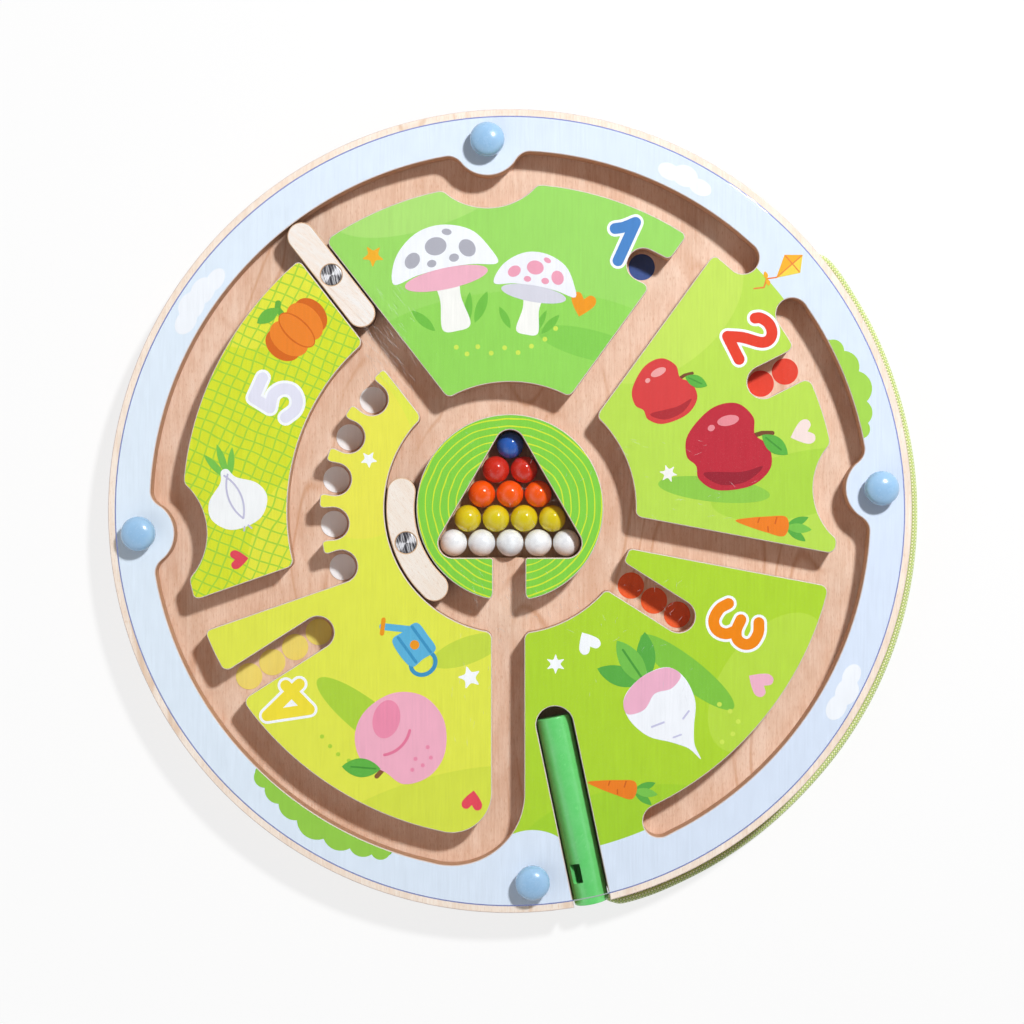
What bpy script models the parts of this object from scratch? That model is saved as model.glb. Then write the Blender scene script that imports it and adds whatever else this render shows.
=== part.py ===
"""Magnetic maze board for small children.

A round board of three glued plywood layers holds lanes for fifteen steel balls. A clear
cover lies on the lanes under four capped screws, two wooden gates slide in the lanes,
and a magnetic wand on a cord is kept in a slot that opens at the rim.

All sizes are in metres. The origin is the middle of the board's underside, and +Y is the
board's top as a player holds it.
"""

import math

import bmesh
import bpy
from mathutils import Matrix, Vector

# Fits
SEAT_GAP = 0.0003
CURVE_TOLERANCE = 0.00006
MERGE_DISTANCE = 0.00001
CUT_OVERRUN = 0.004
SMALLEST_TURN = 0.02

# Balls: rows of one to five
BALL_RADIUS = 0.0051
BALL_ROWS = 5
BALL_GAP = 0.0004
BALL_PITCH = BALL_RADIUS * 2 + BALL_GAP
ROW_RISE = BALL_PITCH * math.sin(math.radians(60))
BALL_REACH = (BALL_ROWS - 1) * ROW_RISE * 2 / 3

# Board layers, from the underside up
BOARD_RADIUS = 0.1500
BACK_THICKNESS = 0.0040
FLOOR_THICKNESS = 0.0030
BALL_HEADROOM = 0.0008
MAZE_THICKNESS = BALL_RADIUS * 2 + BALL_HEADROOM
COVER_THICKNESS = 0.0030
COVER_MARGIN = 0.0031
COVER_RADIUS = BOARD_RADIUS - COVER_MARGIN

BACK_TOP = BACK_THICKNESS
FLOOR_BOTTOM = BACK_TOP + SEAT_GAP
FLOOR_TOP = FLOOR_BOTTOM + FLOOR_THICKNESS
MAZE_BOTTOM = FLOOR_TOP + SEAT_GAP
MAZE_TOP = MAZE_BOTTOM + MAZE_THICKNESS
COVER_BOTTOM = MAZE_TOP + SEAT_GAP
COVER_TOP = COVER_BOTTOM + COVER_THICKNESS

# Triangular pit in the hub, and its way out
HUB_OFFSET = 0.0012
PIT_CLEARANCE = 0.0004
PIT_WALL = 0.0049
PIT_DROP = 0.0009
PIT_EXIT_OFFSET = -0.0003
HUB_RADIUS = BALL_REACH + BALL_RADIUS + PIT_CLEARANCE + PIT_WALL
BALL_BASE_Y = HUB_OFFSET - BALL_REACH / 2 - PIT_DROP

# Lanes: walls of the outer and inner rings, and the curved lane behind the stalls
LANE_CLEARANCE = 0.0018
LANE_WIDTH = BALL_RADIUS * 2 + LANE_CLEARANCE
RIM_WIDTH = 0.0158
OUTER_WALL_RADIUS = BOARD_RADIUS - RIM_WIDTH
OUTER_LANE_RADIUS = OUTER_WALL_RADIUS - LANE_WIDTH / 2
ISLAND_RADIUS = OUTER_WALL_RADIUS - LANE_WIDTH
INNER_WALL_RADIUS = HUB_RADIUS + LANE_WIDTH
TONGUE_SHARE = 0.32
TONGUE_RADIUS = INNER_WALL_RADIUS + (ISLAND_RADIUS - INNER_WALL_RADIUS) * TONGUE_SHARE
STALL_LANE_RADIUS = TONGUE_RADIUS + LANE_WIDTH

# Ends of the two stretches of outer lane, in degrees from +X
LONG_LANE_END = 47.4
SHORT_LANE_START = 34.9
SHORT_LANE_END = -64.3

# Screws that hold the cover, from the underside of the head
SCREW_HEAD_RADIUS = 0.0037
SCREW_HEAD_HEIGHT = 0.0022
SCREW_HEAD_SHARES = ((0.0, 1.0), (0.6, 0.92), (1.0, 0.45), (1.0, 0.0))
SCREW_SHANK_RADIUS = 0.0017
SCREW_END_GAP = 0.0016
SCREW_LENGTH = COVER_THICKNESS + SEAT_GAP * 2 + MAZE_THICKNESS - SCREW_END_GAP
SCREW_POINT = 0.0030

# Domed caps over the screws
CAP_INSET = 0.0119
CAP_PITCH_RADIUS = BOARD_RADIUS - CAP_INSET
CAP_START = 3.5
CAP_COUNT = 4
CAP_WALL = 0.0013
CAP_SIDE_CLEARANCE = 0.0014
CAP_RADIUS = SCREW_HEAD_RADIUS + CAP_SIDE_CLEARANCE + CAP_WALL
CAP_ROOF = 0.0014
CAP_HEADROOM = 0.0016
CAP_CEILING = SCREW_HEAD_HEIGHT + CAP_HEADROOM
CAP_HEIGHT = CAP_CEILING + CAP_ROOF
CAP_EDGE_HEIGHT = 0.0012
CAP_SHOULDER_SHARE = 0.6
CAP_STEPS = 6
BOSS_WIDTH = 0.0064
CAP_SCALLOP_RADIUS = CAP_RADIUS + BOSS_WIDTH

# Where the first boss's hollow meets the islands' ring, and the spoke lane beside it
BOSS_LAND = 0.0057
HOLLOW_RADIUS = CAP_SCALLOP_RADIUS + LANE_WIDTH
HOLLOW_COSINE = (CAP_PITCH_RADIUS ** 2 + ISLAND_RADIUS ** 2 - HOLLOW_RADIUS ** 2) / (
    2 * CAP_PITCH_RADIUS * ISLAND_RADIUS)
BOSS_SPOKE_SHARE = -0.050
BOSS_SPOKE_REACH = BOSS_LAND + LANE_WIDTH * (0.5 - BOSS_SPOKE_SHARE)
BOSS_SPOKE_DIRECTION = 360 + CAP_START - math.degrees(
    math.acos(HOLLOW_COSINE) + BOSS_SPOKE_REACH / ISLAND_RADIUS)

# Spoke lanes: direction in degrees, and the share of the lane's width by which the
# middle line lies to the clockwise side
SPOKE_SHARES = {
    "one_two": (54.0, -0.075),
    "five_one": (127.9, 0.125),
    "four_five": (199.2, 0.100),
    "three_four": (270.0, 0.058),
    "two_three": (BOSS_SPOKE_DIRECTION, BOSS_SPOKE_SHARE),
}
CLOCKWISE = 1
ANTICLOCKWISE = -1

# Corners of the islands
CORNER_FILLET = 0.0030
LIP_FILLET = 0.0024
TIP_FILLET = 0.0021
HOLLOW_FILLET = 0.0060
LANE_BEND_FILLET = 0.0150
PIT_FILLET = 0.0010

# Pockets where the balls are parked: the end's distance as a share of the islands'
# radius, its direction, and the way in, both in degrees
POCKET_SHARES = {
    "one": (0.8539, 61.62, 153.4),
    "two": (0.8666, 26.95, 206.6),
    "three": (0.6065, -31.93, 327.7),
    "four": (0.6934, 212.32, 32.5),
}

# Stalls cut into the tongue, the last of them being the end of a spoke lane
STALL_DEPTH = 0.0048
STALL_RADIUS = TONGUE_RADIUS - STALL_DEPTH
STALL_START = 141.0
STALL_STEP = 14.35
STALL_COUNT = 5

# Gates
GATE_SIDE_CLEARANCE = 0.0007
GATE_HEADROOM = 0.0006
GATE_WIDTH = LANE_WIDTH - GATE_SIDE_CLEARANCE * 2
GATE_THICKNESS = MAZE_THICKNESS - GATE_HEADROOM
STRAIGHT_GATE_LENGTH = 0.0468
STRAIGHT_GATE_END_GAP = 0.0004
CURVED_GATE_START = 171.6
CURVED_GATE_END = 226.3
SLUG_RADIUS = 0.0039
SLUG_SEAT = 0.0024
SLUG_HEIGHT = GATE_THICKNESS - SLUG_SEAT
CURVED_SLUG_ANGLE = 198.6

# Wand and its slot
WAND_DIRECTION = -78.15
WAND_HEADROOM = 0.0016
WAND_RADIUS = (COVER_BOTTOM - FLOOR_BOTTOM - WAND_HEADROOM) / 2
WAND_WALL = 0.0020
WAND_BORE_RADIUS = WAND_RADIUS - WAND_WALL
WAND_TIP_WALL = 0.0016
WAND_TIP_CHAMFER = 0.0007
WAND_TAIL_STEP = 0.0003
WAND_TAIL_RADIUS = BOARD_RADIUS + WAND_TAIL_STEP
WAND_SIDE_CLEARANCE = 0.00045
WAND_END_CLEARANCE = 0.0042
WAND_SLOT_WIDTH = (WAND_RADIUS + WAND_SIDE_CLEARANCE) * 2
WAND_SLOT_WEB = 0.0276
WAND_SLOT_BOTTOM_RADIUS = INNER_WALL_RADIUS + WAND_SLOT_WEB
WAND_LENGTH = WAND_TAIL_RADIUS - WAND_END_CLEARANCE - WAND_SLOT_BOTTOM_RADIUS
WINDOW_DISTANCE = 0.0126
WINDOW_LENGTH = 0.0073
WINDOW_WIDTH = 0.0044
WINDOW_TURN = -35.0
MAGNET_LENGTH = 0.0150
PLUG_LENGTH = 0.0050
WAND_FIT = 0.0003

# Cord, its notches in the back layer and its knots
CORD_RADIUS = 0.0015
CORD_STEP = 0.0078
CORD_SIDE_CLEARANCE = 0.0008
CORD_NOTCH_WIDTH = (CORD_RADIUS + CORD_SIDE_CLEARANCE) * 2
CORD_NOTCH_FLARE = 0.0065
ANCHOR_DIRECTION = 40.5
ANCHOR_INSET = 0.0095
ANCHOR_RADIUS = BOARD_RADIUS - ANCHOR_INSET
KNOT_RADIUS = 0.0032
KNOT_HEIGHT = 0.0022
KNOT_CLEARANCE = 0.0004
WAND_KNOT_RADIUS = 0.0024

# Route of the cord: distance from the middle, direction in degrees, height
CORD_ROUTE = [
    (0.1405, 40.50, 0.0024),
    (0.1432, 40.50, 0.0019),
    (0.1460, 40.50, 0.0016),
    (0.1500, 40.20, 0.0016),
    (0.1527, 39.20, 0.0016),
    (0.1539, 37.60, 0.0016),
    (0.1540, 34.00, 0.0016),
    (0.1539, 27.00, 0.0016),
    (0.1538, 20.00, 0.0016),
    (0.1539, 12.00, 0.0016),
    (0.1541, 4.00, 0.0016),
    (0.1542, -4.00, 0.0016),
    (0.1543, -12.00, 0.0016),
    (0.1544, -20.00, 0.0016),
    (0.1544, -28.00, 0.0016),
    (0.1543, -36.00, 0.0016),
    (0.1542, -44.00, 0.0016),
    (0.1544, -52.00, 0.0016),
    (0.1546, -60.00, 0.0016),
    (0.1548, -68.00, 0.0016),
    (0.1546, -73.40, 0.0016),
    (0.1533, -75.00, 0.0016),
    (0.1508, -76.10, 0.0016),
    (0.1474, -76.60, 0.0016),
    (0.1440, -76.60, 0.0016),
    (0.1418, -76.60, 0.0018),
    (0.1396, -76.60, 0.0025),
]

ORIGIN = Vector((0, 0))
HUB = Vector((0, HUB_OFFSET))
ROUND_STEPS = 16
BALL_SEGMENTS = 16
BALL_RINGS = 9
KNOT_SEGMENTS = 12
KNOT_RINGS = 7

PLY = (0.93, 0.78, 0.62, 1)
SKY = (0.72, 0.84, 0.95, 1)
GRASS = (0.36, 0.72, 0.14, 1)
LIME = (0.72, 0.76, 0.06, 1)
STEEL = (0.62, 0.62, 0.64, 1)
BALL_COLOURS = [
    (0.02, 0.08, 0.45, 1),
    (0.60, 0.03, 0.02, 1),
    (0.95, 0.20, 0.01, 1),
    (0.80, 0.60, 0.02, 1),
    (0.85, 0.85, 0.86, 1),
]
BALL_NAMES = ["blue", "red", "orange", "yellow", "white"]


def clear_scene():
    for thing in list(bpy.data.objects):
        bpy.data.objects.remove(thing, do_unlink=True)


def new_collection(name):
    collection = bpy.data.collections.new(name)
    bpy.context.scene.collection.children.link(collection)
    return collection


def material(name, colour, roughness, metallic=0.0, transmission=0.0):
    """A plain Principled material."""
    made = bpy.data.materials.new(name)
    made.use_nodes = True
    shader = made.node_tree.nodes["Principled BSDF"]
    shader.inputs["Base Color"].default_value = colour
    shader.inputs["Roughness"].default_value = roughness
    shader.inputs["Metallic"].default_value = metallic
    shader.inputs["Transmission Weight"].default_value = transmission
    made.diffuse_color = colour
    return made


def polar(radius, degrees, centre=ORIGIN):
    angle = math.radians(degrees)
    return centre + Vector((math.cos(angle), math.sin(angle))) * radius


def bearing(point, centre=ORIGIN):
    """Direction of a point from a centre, in degrees."""
    away = point - centre
    return math.degrees(math.atan2(away.y, away.x))


def turn_step(radius):
    """Angle of one facet that stays within the curve tolerance, in radians."""
    return 2 * math.acos(1 - CURVE_TOLERANCE / radius)


def arc(centre, radius, start, end):
    count = max(2, math.ceil(abs(math.radians(end - start)) / turn_step(radius)))
    return [polar(radius, start + (end - start) * i / count, centre) for i in range(count + 1)]


def circle(centre, radius):
    return arc(centre, radius, 0, 360)[:-1]


def meet_circle(point, direction, centre, radius):
    """Where a line leaves a circle, going along its direction."""
    away = point - centre
    along = away.dot(direction)
    reach = math.sqrt(along * along - away.length_squared + radius * radius)
    return point + direction * (reach - along)


def meet_line(point, direction, other, other_direction):
    gap = other - point
    area = direction.x * other_direction.y - direction.y * other_direction.x
    return point + direction * ((gap.x * other_direction.y - gap.y * other_direction.x) / area)


def spoke_wall(name, side):
    """A point on one wall of a spoke lane, and the way out along it."""
    degrees, offset_share = SPOKE_SHARES[name]
    outward = polar(1, degrees)
    across = Vector((outward.y, -outward.x))
    return across * LANE_WIDTH * (offset_share + side / 2), outward


def wall_at(name, side, radius, centre=ORIGIN):
    """Where a spoke lane's wall crosses a circle."""
    point, outward = spoke_wall(name, side)
    return meet_circle(point, outward, centre, radius)


def ring_run(start_point, end_point, radius, clockwise, centre=ORIGIN):
    """Points along a circle between two points on it."""
    start = bearing(start_point, centre)
    end = bearing(end_point, centre)
    if clockwise:
        while end > start:
            end -= 360
        while start - end > 360:
            end += 360
    else:
        while end < start:
            end += 360
        while end - start > 360:
            end -= 360
    return arc(centre, radius, start, end)


def pocket(end_centre, inward, width, first, last):
    """A slot in an outline: in along one wall, round its end, and out along the other."""
    return [first] + arc(end_centre, width / 2, inward + 90, inward - 90) + [last]


def pocket_walls(end_centre, inward, width):
    """A point on each wall of a slot, and the way out of it."""
    outward = polar(1, inward + 180)
    across = polar(width / 2, inward + 90)
    return end_centre + across, end_centre - across, outward


def trimmed(points, distance):
    """The run without its last stretch of a given length."""
    kept = list(points)
    left = distance
    while len(kept) > 2 and (kept[-1] - kept[-2]).length <= left:
        left -= (kept[-1] - kept[-2]).length
        kept.pop()
    step = kept[-1] - kept[-2]
    kept[-1] = kept[-1] - step.normalized() * min(left, step.length / 2)
    return kept


def corner_curve(before, after, radius):
    """Points of a rounded corner between the end of one run and the start of the next."""
    way_in = (before[-1] - before[-2]).normalized()
    way_out = (after[1] - after[0]).normalized()
    turn = way_in.angle(way_out, 0)
    if turn < SMALLEST_TURN:
        return []
    chord = (after[0] - before[-1]).length
    handle = 4 / 3 * math.tan(turn / 4) * chord / (2 * math.sin(turn / 2))
    count = max(2, math.ceil(turn / turn_step(radius)))
    ends = (before[-1], before[-1] + way_in * handle, after[0] - way_out * handle, after[0])
    points = []
    for i in range(1, count):
        t = i / count
        weights = ((1 - t) ** 3, 3 * t * (1 - t) ** 2, 3 * t * t * (1 - t), t ** 3)
        points.append(sum((end * weight for end, weight in zip(ends, weights)), Vector((0, 0))))
    return points


def outline(runs):
    """A closed outline from runs of points, each with the fillet at its end."""
    points = [list(run) for run, fillet in runs]
    for i, (run, fillet) in enumerate(runs):
        follower = (i + 1) % len(runs)
        if not fillet:
            continue
        way_in = run[-1] - run[-2]
        way_out = runs[follower][0][1] - runs[follower][0][0]
        setback = fillet * math.tan(way_in.angle(way_out) / 2)
        points[i] = trimmed(points[i], setback)
        points[follower] = trimmed(points[follower][::-1], setback)[::-1]
    loop = []
    for i, (run, fillet) in enumerate(runs):
        follower = (i + 1) % len(runs)
        loop.extend(points[i])
        if fillet:
            loop.extend(corner_curve(points[i], points[follower], fillet))
        else:
            loop.pop()
    return loop


def cap_place(index):
    return polar(CAP_PITCH_RADIUS, CAP_START + index * 360 / CAP_COUNT)


def scallop_angle(radius, wall_radius):
    """Half the angle that a circle round a cap takes out of a ring wall."""
    reach = CAP_PITCH_RADIUS
    along = (reach * reach + wall_radius * wall_radius - radius * radius) / (2 * reach)
    return math.degrees(math.acos(along / wall_radius))


def scalloped(index, radius, wall_radius, clockwise):
    """Points round one cap, from ring wall to ring wall, on the middle's side."""
    middle = cap_place(index)
    half = scallop_angle(radius, wall_radius)
    degrees = CAP_START + index * 360 / CAP_COUNT
    ends = [polar(wall_radius, degrees + half), polar(wall_radius, degrees - half)]
    if not clockwise:
        ends.reverse()
    start = bearing(ends[0], middle)
    end = bearing(ends[1], middle)
    inward = degrees + 180
    start = inward + (start - inward + 180) % 360 - 180
    end = inward + (end - inward + 180) % 360 - 180
    return arc(middle, radius, start, end)


def island_one():
    """Outline between the spoke lanes one_two and five_one, with one pocket."""
    end_centre, inward = pocket_data("one")
    near, far, outward = pocket_walls(end_centre, inward, LANE_WIDTH)
    wall, along = spoke_wall("one_two", ANTICLOCKWISE)
    first = meet_line(near, outward, wall, along)
    last = meet_line(far, outward, wall, along)
    foot = wall_at("one_two", ANTICLOCKWISE, INNER_WALL_RADIUS, HUB)
    shoulder = wall_at("one_two", ANTICLOCKWISE, ISLAND_RADIUS)
    hollow = scalloped(1, HOLLOW_RADIUS, ISLAND_RADIUS, False)
    far_shoulder = wall_at("five_one", CLOCKWISE, ISLAND_RADIUS)
    far_foot = wall_at("five_one", CLOCKWISE, INNER_WALL_RADIUS, HUB)
    return outline([
        ([foot, first], LIP_FILLET),
        (pocket(end_centre, inward, LANE_WIDTH, first, last), LIP_FILLET),
        ([last, shoulder], TIP_FILLET),
        (ring_run(shoulder, hollow[0], ISLAND_RADIUS, False), HOLLOW_FILLET),
        (hollow, HOLLOW_FILLET),
        (ring_run(hollow[-1], far_shoulder, ISLAND_RADIUS, False), CORNER_FILLET),
        ([far_shoulder, far_foot], CORNER_FILLET),
        (ring_run(far_foot, foot, INNER_WALL_RADIUS, True, HUB), CORNER_FILLET),
    ])


def island_five():
    """Outline between the spoke lanes five_one and four_five, outside the stall lane."""
    foot = wall_at("five_one", ANTICLOCKWISE, STALL_LANE_RADIUS)
    shoulder = wall_at("five_one", ANTICLOCKWISE, ISLAND_RADIUS)
    hollow = scalloped(2, HOLLOW_RADIUS, ISLAND_RADIUS, False)
    far_shoulder = wall_at("four_five", CLOCKWISE, ISLAND_RADIUS)
    far_foot = wall_at("four_five", CLOCKWISE, STALL_LANE_RADIUS)
    return outline([
        ([foot, shoulder], TIP_FILLET),
        (ring_run(shoulder, hollow[0], ISLAND_RADIUS, False), HOLLOW_FILLET),
        (hollow, HOLLOW_FILLET),
        (ring_run(hollow[-1], far_shoulder, ISLAND_RADIUS, False), CORNER_FILLET),
        ([far_shoulder, far_foot], CORNER_FILLET),
        (ring_run(far_foot, foot, STALL_LANE_RADIUS, True), CORNER_FILLET),
    ])


def stall_runs(start_point):
    """Runs along the tongue's outer edge, in and out of each stall."""
    runs = []
    here = start_point
    for i in range(STALL_COUNT - 1):
        degrees = STALL_START + i * STALL_STEP
        middle = polar(STALL_RADIUS, degrees)
        near, far, outward = pocket_walls(middle, degrees + 180, LANE_WIDTH)
        first = meet_circle(near, outward, ORIGIN, TONGUE_RADIUS)
        last = meet_circle(far, outward, ORIGIN, TONGUE_RADIUS)
        runs.append((ring_run(here, first, TONGUE_RADIUS, False), TIP_FILLET))
        runs.append((pocket(middle, degrees + 180, LANE_WIDTH, first, last), TIP_FILLET))
        here = last
    return runs, here


def island_four():
    """Outline with the tongue of stalls, the long pocket and the lane's big bend."""
    foot = wall_at("five_one", ANTICLOCKWISE, INNER_WALL_RADIUS, HUB)
    tongue_tip = wall_at("five_one", ANTICLOCKWISE, TONGUE_RADIUS)
    runs, here = stall_runs(tongue_tip)
    degrees = SPOKE_SHARES["four_five"][0]
    wall, along = spoke_wall("four_five", ANTICLOCKWISE)
    middle_line = wall + polar(LANE_WIDTH / 2, degrees - 90)
    last_stall = meet_circle(middle_line, along, ORIGIN, STALL_RADIUS)
    near, _, outward = pocket_walls(last_stall, degrees + 180, LANE_WIDTH)
    first = meet_circle(near, outward, ORIGIN, TONGUE_RADIUS)
    shoulder = wall_at("four_five", ANTICLOCKWISE, ISLAND_RADIUS)
    end_centre, inward = pocket_data("four")
    pocket_near, pocket_far, pocket_out = pocket_walls(end_centre, inward, LANE_WIDTH)
    mouth = meet_circle(pocket_near, pocket_out, ORIGIN, ISLAND_RADIUS)
    mouth_end = meet_circle(pocket_far, pocket_out, ORIGIN, ISLAND_RADIUS)
    bend = lane_bend(LANE_BEND_FILLET)
    far_foot = wall_at("three_four", CLOCKWISE, INNER_WALL_RADIUS, HUB)
    return outline([
        ([foot, tongue_tip], TIP_FILLET),
        *runs,
        (ring_run(here, first, TONGUE_RADIUS, False), TIP_FILLET),
        (pocket(last_stall, degrees + 180, LANE_WIDTH, first, shoulder), TIP_FILLET),
        (ring_run(shoulder, mouth, ISLAND_RADIUS, False), CORNER_FILLET),
        (pocket(end_centre, inward, LANE_WIDTH, mouth, mouth_end), CORNER_FILLET),
        (ring_run(mouth_end, bend[0], ISLAND_RADIUS, False), 0),
        (bend, 0),
        ([bend[-1], far_foot], CORNER_FILLET),
        (ring_run(far_foot, foot, INNER_WALL_RADIUS, True, HUB), CORNER_FILLET),
    ])


def lane_bend(radius):
    """The big bend from the outer lane into the spoke lane three_four, at one wall."""
    wall, outward = spoke_wall("three_four", CLOCKWISE)
    x = wall.x - LANE_BEND_FILLET
    y = -math.sqrt((ISLAND_RADIUS - LANE_BEND_FILLET) ** 2 - x * x)
    centre = Vector((x, y))
    return arc(centre, radius, bearing(centre), 0)


def pocket_data(name):
    """End place of a pocket, and the way in."""
    distance_share, degrees, inward = POCKET_SHARES[name]
    return polar(ISLAND_RADIUS * distance_share, degrees), inward


def frame_opening():
    """The one opening of the frame layer, with the frame on the left of the way round."""
    bend = lane_bend(LANE_BEND_FILLET + LANE_WIDTH)[::-1]
    foot = wall_at("three_four", ANTICLOCKWISE, INNER_WALL_RADIUS, HUB)
    left = scalloped(2, CAP_SCALLOP_RADIUS, OUTER_WALL_RADIUS, True)
    top = scalloped(1, CAP_SCALLOP_RADIUS, OUTER_WALL_RADIUS, True)
    long_end = lane_end(LONG_LANE_END, True)
    corner_two = wall_at("one_two", CLOCKWISE, ISLAND_RADIUS)
    foot_two = wall_at("one_two", CLOCKWISE, INNER_WALL_RADIUS, HUB)
    far_foot_two = wall_at("two_three", ANTICLOCKWISE, INNER_WALL_RADIUS, HUB)
    far_corner_two = wall_at("two_three", ANTICLOCKWISE, ISLAND_RADIUS)
    return outline([
        ([foot, bend[0]], 0),
        (bend, 0),
        (ring_run(bend[-1], left[0], OUTER_WALL_RADIUS, True), HOLLOW_FILLET),
        (left, HOLLOW_FILLET),
        (ring_run(left[-1], top[0], OUTER_WALL_RADIUS, True), HOLLOW_FILLET),
        (top, HOLLOW_FILLET),
        (ring_run(top[-1], long_end[0], OUTER_WALL_RADIUS, True), 0),
        (long_end, 0),
        (ring_run(long_end[-1], corner_two, ISLAND_RADIUS, False), CORNER_FILLET),
        ([corner_two, foot_two], CORNER_FILLET),
        (ring_run(foot_two, far_foot_two, INNER_WALL_RADIUS, True, HUB), CORNER_FILLET),
        ([far_foot_two, far_corner_two], CORNER_FILLET),
        *short_lane_runs(far_corner_two),
        *sector_three_runs(foot),
    ])


def lane_end(degrees, clockwise):
    """Half round end of the outer lane, from one wall to the other."""
    centre = polar(OUTER_LANE_RADIUS, degrees)
    if clockwise:
        return arc(centre, LANE_WIDTH / 2, degrees, degrees - 180)
    return arc(centre, LANE_WIDTH / 2, degrees + 180, degrees)


def short_lane_runs(corner):
    """Runs round the short stretch of outer lane, with the second pocket."""
    hollow = scalloped(0, HOLLOW_RADIUS, ISLAND_RADIUS, False)
    end_centre, inward = pocket_data("two")
    near, far, outward = pocket_walls(end_centre, inward, LANE_WIDTH)
    mouth = meet_circle(near, outward, ORIGIN, ISLAND_RADIUS)
    mouth_end = meet_circle(far, outward, ORIGIN, ISLAND_RADIUS)
    top_end = lane_end(SHORT_LANE_START, False)
    boss = scalloped(0, CAP_SCALLOP_RADIUS, OUTER_WALL_RADIUS, True)
    low_end = lane_end(SHORT_LANE_END, True)
    corner_three = wall_at("two_three", CLOCKWISE, ISLAND_RADIUS)
    return [
        (ring_run(corner, hollow[0], ISLAND_RADIUS, False), CORNER_FILLET),
        (hollow, HOLLOW_FILLET),
        (ring_run(hollow[-1], mouth, ISLAND_RADIUS, False), CORNER_FILLET),
        (pocket(end_centre, inward, LANE_WIDTH, mouth, mouth_end), CORNER_FILLET),
        (ring_run(mouth_end, top_end[0], ISLAND_RADIUS, False), 0),
        (top_end, 0),
        (ring_run(top_end[-1], boss[0], OUTER_WALL_RADIUS, True), HOLLOW_FILLET),
        (boss, HOLLOW_FILLET),
        (ring_run(boss[-1], low_end[0], OUTER_WALL_RADIUS, True), 0),
        (low_end, 0),
        (ring_run(low_end[-1], corner_three, ISLAND_RADIUS, False), CORNER_FILLET),
    ]


def sector_three_runs(last_foot):
    """Runs along the sector below the spoke lane two_three, with the third pocket."""
    corner = wall_at("two_three", CLOCKWISE, ISLAND_RADIUS)
    foot = wall_at("two_three", CLOCKWISE, INNER_WALL_RADIUS, HUB)
    end_centre, inward = pocket_data("three")
    near, far, outward = pocket_walls(end_centre, inward, LANE_WIDTH)
    mouth = meet_circle_near(near, outward, HUB, INNER_WALL_RADIUS)
    mouth_end = meet_circle_near(far, outward, HUB, INNER_WALL_RADIUS)
    return [
        ([corner, foot], LIP_FILLET),
        (ring_run(foot, mouth, INNER_WALL_RADIUS, True, HUB), LIP_FILLET),
        (pocket(end_centre, inward, LANE_WIDTH, mouth, mouth_end), LIP_FILLET),
        (ring_run(mouth_end, last_foot, INNER_WALL_RADIUS, True, HUB), CORNER_FILLET),
    ]


def meet_circle_near(point, direction, centre, radius):
    """Where a line that comes from outside a circle first meets it."""
    return meet_circle(point, -direction, centre, radius)


def pit_corner(height_share, side):
    """A sharp corner of the pit before rounding: 0 is the base and 1 the apex."""
    grown = (BALL_RADIUS + PIT_CLEARANCE) / math.sin(math.radians(30))
    half = (BALL_ROWS - 1) * BALL_PITCH / 2
    rise = (BALL_ROWS - 1) * ROW_RISE
    x = side * (half + grown * math.cos(math.radians(30))) * (1 - height_share)
    low = BALL_BASE_Y - BALL_RADIUS - PIT_CLEARANCE
    return Vector((x, low + height_share * (rise + BALL_RADIUS + PIT_CLEARANCE + grown)))


def hub_outline():
    """Middle disc with the triangular pit and the pit's way out."""
    left_x = PIT_EXIT_OFFSET - LANE_WIDTH / 2
    right_x = PIT_EXIT_OFFSET + LANE_WIDTH / 2
    down = Vector((0, -1))
    rim_right = meet_circle(Vector((right_x, 0)), down, HUB, HUB_RADIUS)
    rim_left = meet_circle(Vector((left_x, 0)), down, HUB, HUB_RADIUS)
    base_left, base_right, apex = pit_corner(0, -1), pit_corner(0, 1), pit_corner(1, 0)
    step_right = Vector((right_x, base_right.y))
    step_left = Vector((left_x, base_left.y))
    fillet = BALL_RADIUS + PIT_CLEARANCE
    return outline([
        (ring_run(rim_right, rim_left, HUB_RADIUS, False, HUB), LIP_FILLET),
        ([rim_left, step_left], PIT_FILLET),
        ([step_left, base_left], fillet),
        ([base_left, apex], fillet),
        ([apex, base_right], fillet),
        ([base_right, step_right], PIT_FILLET),
        ([step_right, rim_right], LIP_FILLET),
    ])


def pit_outline():
    """The pit where it goes through the floor layer."""
    base_left, base_right, apex = pit_corner(0, -1), pit_corner(0, 1), pit_corner(1, 0)
    fillet = BALL_RADIUS + PIT_CLEARANCE
    return outline([
        ([base_left, base_right], fillet),
        ([base_right, apex], fillet),
        ([apex, base_left], fillet),
    ])


def rim_notches(notches):
    """The board's rim with slots that open at it: direction, end radius, width, flare."""
    runs = []
    corners = []
    for degrees, end_radius, width, flare in sorted(notches):
        middle = polar(end_radius, degrees)
        near, far, outward = pocket_walls(middle, degrees + 180, width)
        first = meet_circle(near, outward, ORIGIN, BOARD_RADIUS)
        last = meet_circle(far, outward, ORIGIN, BOARD_RADIUS)
        corners.append((first, last, pocket(middle, degrees + 180, width, first, last), flare))
    for i, (first, last, slot, flare) in enumerate(corners):
        following = corners[(i + 1) % len(corners)]
        runs.append((slot, flare))
        runs.append((ring_run(last, following[0], BOARD_RADIUS, False), following[3]))
    return outline(runs)


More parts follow.
